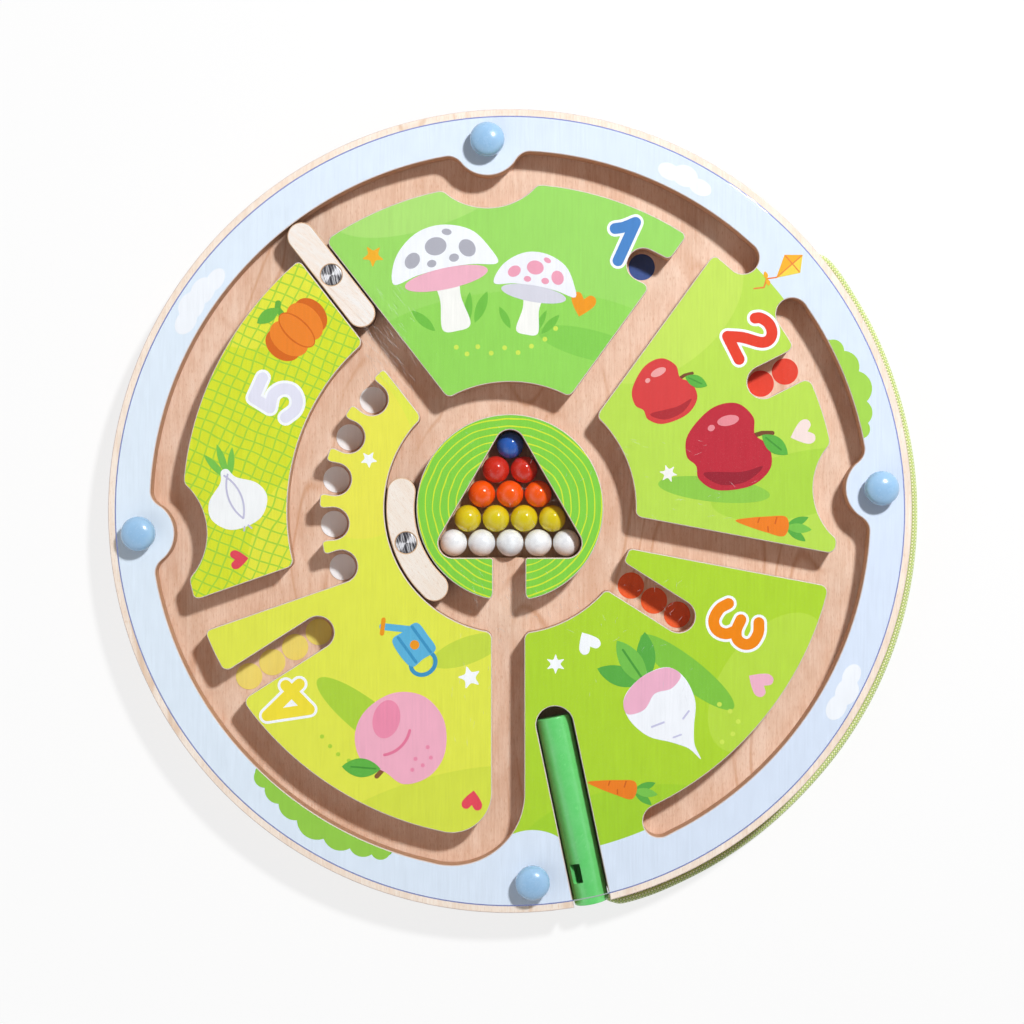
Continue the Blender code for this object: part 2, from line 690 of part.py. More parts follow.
def plate(name, loops, bottom, thickness, finish, collection):
    """A flat piece cut from sheet: a filled 2D curve, extruded."""
    curve = bpy.data.curves.new(name, "CURVE")
    curve.dimensions = "2D"
    curve.fill_mode = "BOTH"
    curve.extrude = thickness / 2
    for loop in loops:
        spline = curve.splines.new("POLY")
        spline.points.add(len(loop) - 1)
        for point, place in zip(spline.points, loop):
            point.co = (place.x, place.y, 0, 1)
        spline.use_cyclic_u = True
    curve.materials.append(finish)
    made = bpy.data.objects.new(name, curve)
    made.location.z = bottom + thickness / 2
    collection.objects.link(made)
    return made


def turned(name, profile, steps, finish, collection):
    """A turned piece: a profile at +X, top to bottom, with a Screw modifier."""
    mesh = bpy.data.meshes.new(name)
    form = bmesh.new()
    points = [form.verts.new((x, 0, z)) for x, z in profile]
    for i in range(len(points) - 1):
        form.edges.new((points[i], points[i + 1]))
    form.to_mesh(mesh)
    form.free()
    mesh.materials.append(finish)
    made = bpy.data.objects.new(name, mesh)
    collection.objects.link(made)
    screw = made.modifiers.new("Turn", "SCREW")
    screw.steps = steps
    screw.render_steps = steps
    screw.use_merge_vertices = True
    screw.merge_threshold = MERGE_DISTANCE
    return made


def pilot_holes(radius):
    return [circle(cap_place(i), radius) for i in range(CAP_COUNT)]


def add_layers(parts, finishes):
    """Back, floor, frame, islands and cover."""
    slot_end_radius = WAND_SLOT_BOTTOM_RADIUS + WAND_SLOT_WIDTH / 2
    slot_mouth = (WAND_DIRECTION, slot_end_radius, WAND_SLOT_WIDTH, 0)
    mouth = window_mouth()
    cord_mouths = [
        (ANCHOR_DIRECTION, ANCHOR_RADIUS, CORD_NOTCH_WIDTH, CORD_NOTCH_FLARE),
        (bearing(mouth), mouth.length, CORD_NOTCH_WIDTH, CORD_NOTCH_FLARE),
    ]
    knot_hole = circle(polar(ANCHOR_RADIUS, ANCHOR_DIRECTION), KNOT_RADIUS + KNOT_CLEARANCE)
    shank_hole = SCREW_SHANK_RADIUS + SEAT_GAP
    slotted = rim_notches([slot_mouth])
    plate("back_board", [rim_notches(cord_mouths)], 0, BACK_THICKNESS,
          finishes["ply"], parts)
    plate("floor_board", [slotted, pit_outline(), knot_hole], FLOOR_BOTTOM,
          FLOOR_THICKNESS, finishes["ply"], parts)
    plate("frame_plate", [slotted, frame_opening(), *pilot_holes(shank_hole)],
          MAZE_BOTTOM, MAZE_THICKNESS, finishes["sky"], parts)
    plate("island_one", [island_one()], MAZE_BOTTOM, MAZE_THICKNESS, finishes["grass"], parts)
    plate("island_four", [island_four()], MAZE_BOTTOM, MAZE_THICKNESS, finishes["lime"], parts)
    plate("island_five", [island_five()], MAZE_BOTTOM, MAZE_THICKNESS, finishes["lime"], parts)
    plate("centre_island", [hub_outline()], MAZE_BOTTOM, MAZE_THICKNESS,
          finishes["grass"], parts)
    plate("cover", [circle(ORIGIN, COVER_RADIUS), *pilot_holes(shank_hole)], COVER_BOTTOM,
          COVER_THICKNESS, finishes["acrylic"], parts)


def screw_profile():
    """Pan head, shank and point, measured up from the underside of the head."""
    head = [(SCREW_HEAD_RADIUS * across, SCREW_HEAD_HEIGHT * up)
            for across, up in SCREW_HEAD_SHARES]
    return head + [
        (SCREW_SHANK_RADIUS, 0),
        (SCREW_SHANK_RADIUS, SCREW_POINT - SCREW_LENGTH),
        (0, -SCREW_LENGTH),
    ]


def cap_profile():
    """Domed cap, hollow below so that it clears the screw's head."""
    dome = CAP_HEIGHT - CAP_EDGE_HEIGHT
    profile = []
    for i in range(CAP_STEPS + 1):
        angle = math.radians(90 * i / CAP_STEPS)
        profile.append((CAP_RADIUS * math.sin(angle), CAP_EDGE_HEIGHT + dome * math.cos(angle)))
    inside = CAP_RADIUS - CAP_WALL
    shoulder = CAP_CEILING * CAP_SHOULDER_SHARE
    return profile + [(CAP_RADIUS, 0), (inside, 0), (inside, shoulder), (0, CAP_CEILING)]


def add_caps(parts, finishes):
    """Four screws through the cover, each under a domed cap."""
    for i in range(CAP_COUNT):
        place = cap_place(i)
        screw = turned(f"cover_screw_{i + 1}", screw_profile(), ROUND_STEPS, finishes["steel"],
                       parts)
        screw.location = (place.x, place.y, COVER_TOP + SEAT_GAP)
        cap = turned(f"screw_cap_{i + 1}", cap_profile(), ROUND_STEPS, finishes["cap"], parts)
        cap.location = (place.x, place.y, COVER_TOP + SEAT_GAP)


def add_balls(parts):
    """Fifteen balls in rows of one to five, one colour a row."""
    height = BACK_TOP + SEAT_GAP + BALL_RADIUS
    for row in range(BALL_ROWS):
        name = BALL_NAMES[row]
        finish = material(f"{name}_paint", BALL_COLOURS[row], 0.25)
        y = BALL_BASE_Y + (BALL_ROWS - 1 - row) * ROW_RISE
        for i in range(row + 1):
            bpy.ops.mesh.primitive_uv_sphere_add(
                segments=BALL_SEGMENTS, ring_count=BALL_RINGS, radius=BALL_RADIUS,
                location=((i - row / 2) * BALL_PITCH, y, height))
            ball = bpy.context.object
            ball.name = f"{name}_ball_{i + 1}"
            ball.data.materials.append(finish)
            ball.data.shade_smooth()
            move_to(ball, parts)


def move_to(thing, collection):
    for owner in list(thing.users_collection):
        owner.objects.unlink(thing)
    collection.objects.link(thing)


def add_straight_gate(parts, finishes):
    """Bar with round ends in the spoke lane five_one, its outer end at the ring wall."""
    degrees, offset_share = SPOKE_SHARES["five_one"]
    outward = polar(1, degrees)
    middle_line = Vector((outward.y, -outward.x)) * LANE_WIDTH * offset_share
    reach = meet_circle(middle_line, outward, ORIGIN, OUTER_WALL_RADIUS - STRAIGHT_GATE_END_GAP)
    middle = reach - outward * STRAIGHT_GATE_LENGTH / 2
    half = STRAIGHT_GATE_LENGTH / 2 - GATE_WIDTH / 2
    out_end = Vector((half, 0))
    bar = (arc(out_end, GATE_WIDTH / 2, -90, 90) + arc(-out_end, GATE_WIDTH / 2, 90, 270))
    hole = circle(ORIGIN, SLUG_RADIUS + SEAT_GAP)
    gate = plate("straight_gate", [bar, hole], MAZE_BOTTOM, GATE_THICKNESS,
                 finishes["pale_ply"], parts)
    gate.location.x, gate.location.y = middle
    gate.rotation_euler.z = math.radians(degrees)
    add_slug("straight_gate_slug", middle, parts, finishes)


def add_slug(name, place, parts, finishes):
    """Steel slug set in a gate, level with the gate's top."""
    top = MAZE_BOTTOM + GATE_THICKNESS
    bpy.ops.mesh.primitive_cylinder_add(
        vertices=ROUND_STEPS, radius=SLUG_RADIUS, depth=SLUG_HEIGHT,
        location=(place.x, place.y, top - SLUG_HEIGHT / 2))
    slug = bpy.context.object
    slug.name = name
    slug.data.materials.append(finishes["steel"])
    move_to(slug, parts)


def add_curved_gate(parts, finishes):
    """Arched bar in the inner ring lane, turning about the hub's middle."""
    middle_radius = INNER_WALL_RADIUS - LANE_WIDTH / 2
    start = polar(middle_radius, CURVED_GATE_START)
    end = polar(middle_radius, CURVED_GATE_END)
    half = GATE_WIDTH / 2
    bar = arc(ORIGIN, middle_radius + half, CURVED_GATE_START, CURVED_GATE_END)[:-1]
    bar += arc(end, half, CURVED_GATE_END, CURVED_GATE_END + 180)[:-1]
    bar += arc(ORIGIN, middle_radius - half, CURVED_GATE_END, CURVED_GATE_START)[:-1]
    bar += arc(start, half, CURVED_GATE_START + 180, CURVED_GATE_START + 360)[:-1]
    slug_place = polar(middle_radius, CURVED_SLUG_ANGLE)
    hole = circle(slug_place, SLUG_RADIUS + SEAT_GAP)
    gate = plate("curved_gate", [bar, hole], MAZE_BOTTOM, GATE_THICKNESS,
                 finishes["pale_ply"], parts)
    gate.location.x, gate.location.y = HUB
    add_slug("curved_gate_slug", slug_place + HUB, parts, finishes)


def wand_frame(collection):
    """Empty at the middle of the wand's tail, its +Z along the wand to the tip."""
    empty = bpy.data.objects.new("wand_axis", None)
    collection.objects.link(empty)
    tail = polar(WAND_TAIL_RADIUS, WAND_DIRECTION)
    height = BACK_TOP + SEAT_GAP + WAND_RADIUS
    lay_flat = Matrix.Rotation(math.radians(90), 4, "Y")
    face_in = Matrix.Rotation(math.radians(WAND_DIRECTION + 180), 4, "Z")
    empty.matrix_world = Matrix.Translation((tail.x, tail.y, height)) @ face_in @ lay_flat
    return empty


def window_mouth():
    """Place below the wand where its window's lower mouth opens."""
    middle = polar(WAND_TAIL_RADIUS - WINDOW_DISTANCE, WAND_DIRECTION)
    aside = WAND_RADIUS * math.sin(math.radians(-WINDOW_TURN))
    return middle + polar(aside, WAND_DIRECTION + 90)


def wand_profile():
    """Tube open at the tail, its tip closed and lightly chamfered."""
    inside = WAND_LENGTH - WAND_TIP_WALL
    return [
        (0, WAND_LENGTH),
        (WAND_RADIUS - WAND_TIP_CHAMFER, WAND_LENGTH),
        (WAND_RADIUS, WAND_LENGTH - WAND_TIP_CHAMFER),
        (WAND_RADIUS, 0),
        (WAND_BORE_RADIUS, 0),
        (WAND_BORE_RADIUS, inside),
        (0, inside),
    ]


def add_wand(parts, cutters, finishes):
    """Wand body with its window, magnet in the tip, plug in the tail and the cord's knot."""
    axis = wand_frame(parts)
    body = turned("wand_body", wand_profile(), ROUND_STEPS * 2, finishes["wand"], parts)
    body.parent = axis
    bpy.ops.mesh.primitive_cube_add(size=1)
    window = bpy.context.object
    window.name = "window_cutter"
    window.scale = (WAND_RADIUS * 2 + CUT_OVERRUN, WINDOW_WIDTH, WINDOW_LENGTH)
    window.parent = axis
    window.location = (0, 0, WINDOW_DISTANCE)
    window.rotation_euler.z = math.radians(WINDOW_TURN)
    window.hide_render = True
    window.display_type = "WIRE"
    move_to(window, cutters)
    cut = body.modifiers.new("Window", "BOOLEAN")
    cut.operation = "DIFFERENCE"
    cut.solver = "EXACT"
    cut.object = window
    magnet_top = WAND_LENGTH - WAND_TIP_WALL - WAND_FIT
    magnet = turned("wand_magnet", rod_profile(magnet_top - MAGNET_LENGTH, magnet_top),
                    ROUND_STEPS, finishes["steel"], parts)
    magnet.parent = axis
    plug = turned("wand_plug", rod_profile(0, PLUG_LENGTH), ROUND_STEPS, finishes["wand"], parts)
    plug.parent = axis
    add_wand_knot(axis, parts, finishes)


def rod_profile(low, high):
    radius = WAND_BORE_RADIUS - WAND_FIT
    return [(0, high), (radius, high), (radius, low), (0, low)]


def add_wand_knot(axis, parts, finishes):
    """The cord's end knot, inside the wand just above the window's lower mouth."""
    drop = WAND_BORE_RADIUS - WAND_KNOT_RADIUS - WAND_FIT
    bpy.ops.mesh.primitive_uv_sphere_add(
        segments=KNOT_SEGMENTS, ring_count=KNOT_RINGS, radius=WAND_KNOT_RADIUS)
    knot = bpy.context.object
    knot.name = "wand_knot"
    knot.parent = axis
    side = math.radians(WINDOW_TURN)
    knot.location = (drop * math.cos(side), drop * math.sin(side), WINDOW_DISTANCE)
    knot.data.materials.append(finishes["cord"])
    knot.data.shade_smooth()
    move_to(knot, parts)


def smooth_route():
    """Points a few diameters apart on a smooth curve through the cord's route."""
    route = []
    for radius, degrees, height in CORD_ROUTE:
        flat = polar(radius, degrees)
        route.append(Vector((flat.x, flat.y, height)))
    guide = [route[0] * 2 - route[1]] + route + [route[-1] * 2 - route[-2]]
    points = [route[0]]
    for i in range(1, len(guide) - 2):
        count = max(1, round((guide[i + 1] - guide[i]).length / CORD_STEP))
        for k in range(1, count + 1):
            points.append(catmull(guide[i - 1:i + 3], k / count))
    return points


def catmull(four, t):
    before, start, end, after = four
    pull = (end - before) * t + (before * 2 - start * 5 + end * 4 - after) * t * t
    return start + (pull + (start * 3 - before - end * 3 + after) * t ** 3) / 2


def add_cord(parts, finishes):
    """Cord from the knot under the rim, round the board's right side, to the wand."""
    points = smooth_route()
    curve = bpy.data.curves.new("cord", "CURVE")
    curve.dimensions = "3D"
    curve.bevel_depth = CORD_RADIUS
    curve.bevel_resolution = 2
    curve.use_fill_caps = True
    spline = curve.splines.new("POLY")
    spline.points.add(len(points) - 1)
    for point, place in zip(spline.points, points):
        point.co = (*place, 1)
    curve.materials.append(finishes["cord"])
    cord = bpy.data.objects.new("cord", curve)
    parts.objects.link(cord)
    bpy.ops.mesh.primitive_uv_sphere_add(
        segments=KNOT_SEGMENTS, ring_count=KNOT_RINGS, radius=KNOT_RADIUS)
    knot = bpy.context.object
    knot.name = "board_knot"
    flat = polar(ANCHOR_RADIUS, ANCHOR_DIRECTION)
    knot.location = (flat.x, flat.y, FLOOR_BOTTOM + KNOT_HEIGHT / 2)
    knot.scale.z = KNOT_HEIGHT / (KNOT_RADIUS * 2)
    knot.data.materials.append(finishes["cord"])
    move_to(knot, parts)


def make_finishes():
    return {
        "ply": material("birch_plywood", PLY, 0.6),
        "pale_ply": material("pale_plywood", (0.98, 0.90, 0.80, 1), 0.5),
        "sky": material("sky_print", SKY, 0.5),
        "grass": material("grass_print", GRASS, 0.5),
        "lime": material("lime_print", LIME, 0.5),
        "acrylic": material("clear_acrylic", (0.95, 0.97, 1.0, 1), 0.03, 0.0, 0.95),
        "cap": material("blue_plastic", (0.36, 0.58, 0.80, 1), 0.2),
        "steel": material("bright_steel", STEEL, 0.3, 1.0),
        "wand": material("green_plastic", (0.10, 0.60, 0.16, 1), 0.2),
        "cord": material("green_cord", (0.55, 0.70, 0.25, 1), 0.8),
    }


def build():
    clear_scene()
    parts = new_collection("magnetic_maze_board")
    cutters = new_collection("cutters")
    finishes = make_finishes()
    add_layers(parts, finishes)
    add_caps(parts, finishes)
    add_balls(parts)
    add_straight_gate(parts, finishes)
    add_curved_gate(parts, finishes)
    add_wand(parts, cutters, finishes)
    add_cord(parts, finishes)
    bpy.context.view_layer.update()


build()
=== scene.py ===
"""Looks of the magnetic maze board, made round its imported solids.

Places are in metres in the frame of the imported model. The shapes that are printed on the
board are drawn in millimetres, and scaled when they are laid on it.
"""

import math
from contextlib import contextmanager

import bmesh
import bpy
from mathutils import Matrix, Vector
from mathutils.geometry import delaunay_2d_cdt


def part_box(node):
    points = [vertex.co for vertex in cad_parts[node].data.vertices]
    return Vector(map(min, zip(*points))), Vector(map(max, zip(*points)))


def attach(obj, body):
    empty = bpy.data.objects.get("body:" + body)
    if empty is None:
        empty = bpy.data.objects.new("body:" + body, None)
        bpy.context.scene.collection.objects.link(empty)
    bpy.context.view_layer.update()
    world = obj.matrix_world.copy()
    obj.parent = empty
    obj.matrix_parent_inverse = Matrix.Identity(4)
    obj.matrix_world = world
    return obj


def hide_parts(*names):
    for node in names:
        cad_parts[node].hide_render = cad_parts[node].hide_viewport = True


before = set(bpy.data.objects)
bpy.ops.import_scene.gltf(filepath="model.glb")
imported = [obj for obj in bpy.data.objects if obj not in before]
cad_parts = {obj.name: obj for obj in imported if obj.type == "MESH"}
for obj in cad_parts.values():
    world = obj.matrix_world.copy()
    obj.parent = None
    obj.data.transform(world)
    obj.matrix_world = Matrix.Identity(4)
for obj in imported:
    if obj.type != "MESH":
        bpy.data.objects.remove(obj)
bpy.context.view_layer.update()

MM = 0.001

# Heights of the layers, read from the solids
FLOOR_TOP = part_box("floor_board")[1].z
MAZE_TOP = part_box("frame_plate")[1].z
COVER_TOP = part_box("cover")[1].z
COVER_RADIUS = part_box("cover")[1].x

# Plan of the maze, as in the solids
HUB_OFFSET = 0.0012
SKY_RADIUS = 0.1290
SKY_REACH = 0.0190
CAP_PITCH_RADIUS = 0.1381
CAP_START = 3.5
CAP_COUNT = 4
PRINT_RADIUS = 0.1473
SECTOR_SPLIT = -11.5

# The hub's printed rings, the fifth field's printed grid, and the veneers' thickness
HUB_RING_PITCH = 0.00285
GRID_CELL = 0.0039
GRID_TURN = 24
VENEER = 0.00146

# Plates: how far their edges are rounded, and how outlines are turned back into curves
BACK_ROUND = 0.0005
FLOOR_ROUND = 0.0002
MAZE_ROUND = 0.00035
GATE_ROUND = 0.0004
COVER_ROUND = 0.0006
ROUND_STEPS = 3
GATE_HOLE_FIT = 0.00024
EXIT_ROUND_OFF = 0.0016
CORNER_ANGLE = math.radians(50)
CURVE_STEP = math.radians(2.5)
LONG_SIDE = 2.2

# Wand
WAND_DIRECTION = -78.15
WAND_TAIL_RADIUS = 0.1503
WAND_LENGTH = 0.07162
WAND_RADIUS = 0.0065
WAND_BORE_RADIUS = 0.0045
WAND_TIP_WALL = 0.0016
WAND_TIP_ROUND = 0.0008
WAND_AXIS_HEIGHT = 0.0108
WINDOW_DISTANCE = 0.0126
WINDOW_SIZE = (0.0170, 0.0044, 0.0073)
WINDOW_TURN = -35.0
WINDOW_ROUND = 0.0005
WINDOW_LIP = 0.00016
ROD_FIT = 0.0003
MAGNET_LENGTH = 0.015
PLUG_LENGTH = 0.005
SMALL_ROUND = 0.0003
BORE_CHAMFER = 0.0002
WAND_SIDES = 96
ROD_SIDES = 48
RIM_OVER_WAND = (0.0062, 0.0070)

# Balls, slugs and caps
BALL_CUTS = 15
SLUG_SIDES = 56
SLUG_GROOVE = 0.00026
SLUG_GROOVE_DEPTH = 0.000014
SLUG_RIM = 0.0004
CAP_BRIM = 0.0012
CAP_WALL = 0.0013
CAP_LIP = 0.00025
CAP_HOLLOW = (0.0023, 0.0038)
CAP_SIDES = 72
CAP_DOME = 0.96
CAP_DOME_STEPS = 14

# Cord and its knots. The route goes by radius, direction and height
CORD_RADIUS = 0.0015
CORD_STEP = 0.00031
CORD_SIDES = 28
BRAID_STRANDS = 7
BRAID_PITCH = 0.00125
BRAID_DEPTH = 0.00026
CORD_END_LENGTH = 0.0012
CORD_END_SHARE = 0.35
KNOT_DEPTH = 0.10
KNOT_SIDES = 40
KNOT_RINGS = 24
CORD_ROUTE = [
    (0.1405, 40.50, 0.0024), (0.1432, 40.50, 0.0019), (0.1460, 40.50, 0.0016),
    (0.1500, 40.20, 0.0016), (0.1527, 39.20, 0.0016), (0.1539, 37.60, 0.0016),
    (0.1540, 34.00, 0.0016), (0.1539, 27.00, 0.0016), (0.1538, 20.00, 0.0016),
    (0.1539, 12.00, 0.0016), (0.1541, 4.00, 0.0016), (0.1542, -4.00, 0.0016),
    (0.1543, -12.00, 0.0016), (0.1544, -20.00, 0.0016), (0.1544, -28.00, 0.0016),
    (0.1543, -36.00, 0.0016), (0.1542, -44.00, 0.0016), (0.1544, -52.00, 0.0016),
    (0.1546, -60.00, 0.0016), (0.1548, -68.00, 0.0016), (0.1546, -73.40, 0.0016),
    (0.1533, -75.00, 0.0016), (0.1508, -76.10, 0.0016), (0.1474, -76.60, 0.0016),
    (0.1440, -76.60, 0.0016), (0.1418, -76.60, 0.0018), (0.1396, -76.60, 0.0025),
]

# Camera, table and lights, which are given by place, size and power
CAMERA_PLACE = (0.00075, -0.00037, 0.7186)
CAMERA_LENS = 65.97
CAMERA_SENSOR = 36
TABLE_REACH = 2.5
TABLE_GAP = 0.0003
TABLE_GLOW = 0.78
KEY_LIGHT = ((0.506, 0.648, 1.045), 0.128, 16.1)
FILL_LIGHT = ((-0.550, -0.385, 0.500), 0.90, 1.9)
ROOM_LIGHT = 0.185


def polar(radius, degrees):
    angle = math.radians(degrees)
    return Vector((radius * math.cos(angle), radius * math.sin(angle)))


def raised(flat, height):
    return Vector((flat.x, flat.y, height))


def linear(code):
    """Linear colour of a hex code as it is seen on a screen."""
    shares = [int(code[i:i + 2], 16) / 255 for i in (0, 2, 4)]
    return (*[share / 12.92 if share <= 0.04045 else ((share + 0.055) / 1.055) ** 2.4
              for share in shares], 1.0)


# ---- Nodes ----

class Signal:
    """A node's output. Arithmetic on it adds nodes to its tree."""

    def __init__(self, tree, socket):
        self.tree, self.socket = tree, socket

    def calc(self, operation, second=0.0, clamp=False):
        return put(self.tree, "ShaderNodeMath", {0: self, 1: second}, operation=operation,
                   use_clamp=clamp)

    def __add__(self, other):
        return self.calc("ADD", other)

    def __sub__(self, other):
        return self.calc("SUBTRACT", other)

    def __rsub__(self, other):
        return put(self.tree, "ShaderNodeMath", {0: other, 1: self}, operation="SUBTRACT")

    def __mul__(self, other):
        return self.calc("MULTIPLY", other)

    def fold(self, size=0.5):
        """Up and down again between 0 and the size."""
        return self.calc("PINGPONG", size)

    def band(self, low, high, start=0.0, end=1.0):
        """A smooth step from start to end while the value goes from low to high."""
        return put(self.tree, "ShaderNodeMapRange", {
            "Value": self, "From Min": low, "From Max": high, "To Min": start, "To Max": end},
            interpolation_type="SMOOTHSTEP")

    def split(self):
        return list(put(self.tree, "ShaderNodeSeparateXYZ", {0: self}, None).values())

    def from_axis(self):
        """Distance from the Z axis."""
        x, y, _ = self.split()
        flat = put(self.tree, "ShaderNodeCombineXYZ", {0: x, 1: y})
        return vectors("LENGTH", flat, out="Value")


def wire(tree, node, inputs):
    """Sets each input to a value or a hex colour, or links it to a signal."""
    for key, value in inputs.items():
        if isinstance(value, Signal):
            tree.links.new(value.socket, node.inputs[key])
        else:
            node.inputs[key].default_value = linear(value) if isinstance(value, str) else value


def signals(tree, node):
    return {socket.name: Signal(tree, socket) for socket in node.outputs}


def put(tree, kind, inputs=None, out=0, **settings):
    """Adds a node and gives one of its outputs, or all by name where out is None."""
    made = tree.nodes.new(kind)
    for key, value in settings.items():
        setattr(made, key, value)
    wire(tree, made, inputs or {})
    return signals(tree, made) if out is None else Signal(tree, made.outputs[out])


def vectors(operation, first, second=None, slot=1, out=0):
    """Vector arithmetic. The second value goes to the slot, which is 3 for a scale."""
    inputs = {0: first} if second is None else {0: first, slot: second}
    return put(first.tree, "ShaderNodeVectorMath", inputs, out, operation=operation)


def mixed(share, under, over, blend="MIX"):
    """The colour over laid on the colour under, by its share."""
    tree = next(part.tree for part in (share, under, over) if isinstance(part, Signal))
    return put(tree, "ShaderNodeMix", {0: share, 6: under, 7: over}, 2, data_type="RGBA",
               blend_type=blend)


def placed(vector, scale=(1, 1, 1), turn=0.0, shift=(0, 0, 0)):
    """The vector scaled, turned about Z and shifted."""
    return put(vector.tree, "ShaderNodeMapping", {
        "Vector": vector, "Scale": scale, "Location": shift,
        "Rotation": (0, 0, math.radians(turn))})


def noise(vector, scale, detail=2.0, roughness=0.5):
    """Noise with its cells scaled along each axis, or alike along all, per metre."""
    scale = scale if isinstance(scale, tuple) else (scale,) * 3
    return put(vector.tree, "ShaderNodeTexNoise", {
        "Vector": placed(vector, scale), "Scale": 1.0, "Detail": detail,
        "Roughness": roughness})


def object_place(tree):
    return put(tree, "ShaderNodeTexCoord", out="Object")


def new_group(name, inputs, outputs, make):
    """A shader group. Its colours and numbers are named with their defaults, and make gives
    its outputs from its inputs."""
    tree = bpy.data.node_groups.new(name, "ShaderNodeTree")
    tree.interface.new_socket("Vector", in_out="INPUT", socket_type="NodeSocketVector")
    for key, value in inputs.items():
        kind = "Color" if isinstance(value, str) else "Float"
        socket = tree.interface.new_socket(key, in_out="INPUT", socket_type=f"NodeSocket{kind}")
        socket.default_value = linear(value) if isinstance(value, str) else value
    for key in outputs:
        kind = "Color" if key == "Colour" else "Float"
        tree.interface.new_socket(key, in_out="OUTPUT", socket_type=f"NodeSocket{kind}")
    entry = signals(tree, tree.nodes.new("NodeGroupInput"))
    wire(tree, tree.nodes.new("NodeGroupOutput"), make(entry["Vector"], entry))


def group(name, vector, **inputs):
    return put(vector.tree, "ShaderNodeGroup", {"Vector": vector, **inputs}, None,
               node_tree=bpy.data.node_groups[name])


# ---- Grain, ply, ink and skin, shared by the finishes ----

def birch_face(vector, entry):
    """Face of birch ply with its grain along Y: fine streaks, flecks and growth lines."""
    streaks = noise(vector, (1250, 60, 1250), 3, 0.65)
    mottle = noise(vector, (210, 95, 210), 3, 0.6)
    cloud = noise(vector, (46, 30, 46), 2, 0.5)
    flecks = noise(vector, (2900, 520, 2900), 2).band(0.56, 0.70)
    tone = (streaks * 0.48 + mottle * 0.42 + cloud * 0.34).band(0.42, 0.84)
    rings = (noise(vector, (27, 8, 27), 1.5, 0.4) * 13.0).fold()
    lines = (rings + (mottle - 0.5) * 0.16).band(0.0, 0.15, 1.0, 0.0)
    where = noise(vector, (31, 17, 31), 1).band(0.50, 0.68)
    colour = mixed(tone, entry["Light"], entry["Dark"])
    colour = mixed(lines * (where * 0.55), colour, entry["Line"])
    colour = mixed(flecks * 0.38, colour, entry["Line"])
    return {"Colour": colour, "Height": 1.0 - (tone * 0.5 + flecks * 0.5)}


def ply_edge(vector, entry):
    """Cut edge of birch ply: veneers by height, end grain and long grain in turn."""
    wobble = noise(vector, (45, 45, 300), 2) * 0.00035
    veneers = (vector.split()[2] + wobble) * (1 / VENEER)
    end_grain = (veneers * 0.5).calc("FRACT").fold().band(0.20, 0.28)
    joint = veneers.fold().band(0.0, 0.10, 1.0, 0.0)
    pores = noise(vector, (2600, 2600, 1900), 2, 0.6)
    along = noise(vector, (190, 190, 4200), 2, 0.6)
    marks = noise(vector, (900, 900, 60), 2)
    tone = end_grain * (pores + 0.25) + (1.0 - end_grain) * (along * 0.42)
    tone = (tone * 0.75).calc("ADD", marks * 0.22, clamp=True)
    colour = mixed(tone, entry["Light"], entry["Dark"])
    return {"Colour": mixed(joint * 0.55, colour, entry["Glue"]),
            "Height": 1.0 - (joint * 0.6 + pores * 0.4)}


def ink_on_birch(vector, entry):
    """Ink printed on birch: the grain shows a little through it, with fine dust."""
    streaks = noise(vector, (1500, 60, 1500), 3, 0.6)
    blotch = noise(vector, (210, 120, 210), 2)
    dust = noise(vector, (5200, 4300, 5200), 1).band(0.66, 0.78)
    tone = streaks * 0.7 + blotch * 0.3 - 0.5
    shade = tone * entry["Grain"] * 2.0 + 1.0
    grey = put(vector.tree, "ShaderNodeCombineColor", {0: shade, 1: shade, 2: shade})
    colour = mixed(1.0, entry["Ink"], grey, "MULTIPLY")
    return {"Colour": mixed(dust * 0.16, colour, "ffffff"),
            "Roughness": streaks.band(0.3, 0.7, 0.40, 0.56), "Height": streaks}


def worn_skin(vector, entry):
    """Skin of a moulded or painted piece: faint ripple, dull patches and hairline rubs."""
    dull = noise(vector, 420, 3, 0.6).band(0.40, 0.75)
    turned = put(vector.tree, "ShaderNodeVectorRotate", {
        "Vector": vector, "Angle": entry["Turn"]}, rotation_type="Z_AXIS")
    rubs = noise(turned, (5200, 190, 2600), 2, 0.6).band(0.62, 0.72)
    return {"Roughness": entry["Gloss"] + (dull + rubs) * entry["Wear"],
            "Height": noise(vector, 900, 2) - rubs * 0.4, "Rubs": rubs}


# ---- Finishes ----

finishes = {}


def new_finish(name):
    """The node tree of a new material, which is kept by its name."""
    finishes[name] = made = bpy.data.materials.new(name)
    made.use_nodes = True
    return made.node_tree


def dress(tree, inputs, height=None, strength=0.0, depth=0.0):
    """Sets or links the shader's inputs, with a bump where a height is given."""
    if height is not None:
        inputs["Normal"] = put(tree, "ShaderNodeBump", {
            "Height": height, "Strength": strength, "Distance": depth})
    wire(tree, tree.nodes["Principled BSDF"], inputs)


def make_wood(name, light, dark, line, roughness=0.5, turn=0.0):
    """A bare birch face."""
    tree = new_finish(name)
    birch = group("birch_face", placed(object_place(tree), turn=turn),
                  Light=light, Dark=dark, Line=line)
    rough = birch["Height"].band(0.2, 0.9, roughness + 0.12, roughness - 0.06)
    dress(tree, {"Base Color": birch["Colour"], "Roughness": rough}, birch["Height"],
          0.5, 0.00010)


def make_edge(name, light, dark, glue):
    """A cut ply edge."""
    tree = new_finish(name)
    ply = group("ply_edge", object_place(tree), Light=light, Dark=dark, Glue=glue)
    rough = ply["Height"].band(0.2, 0.9, 0.75, 0.55)
    dress(tree, {"Base Color": ply["Colour"], "Roughness": rough}, ply["Height"], 0.5, 0.00008)


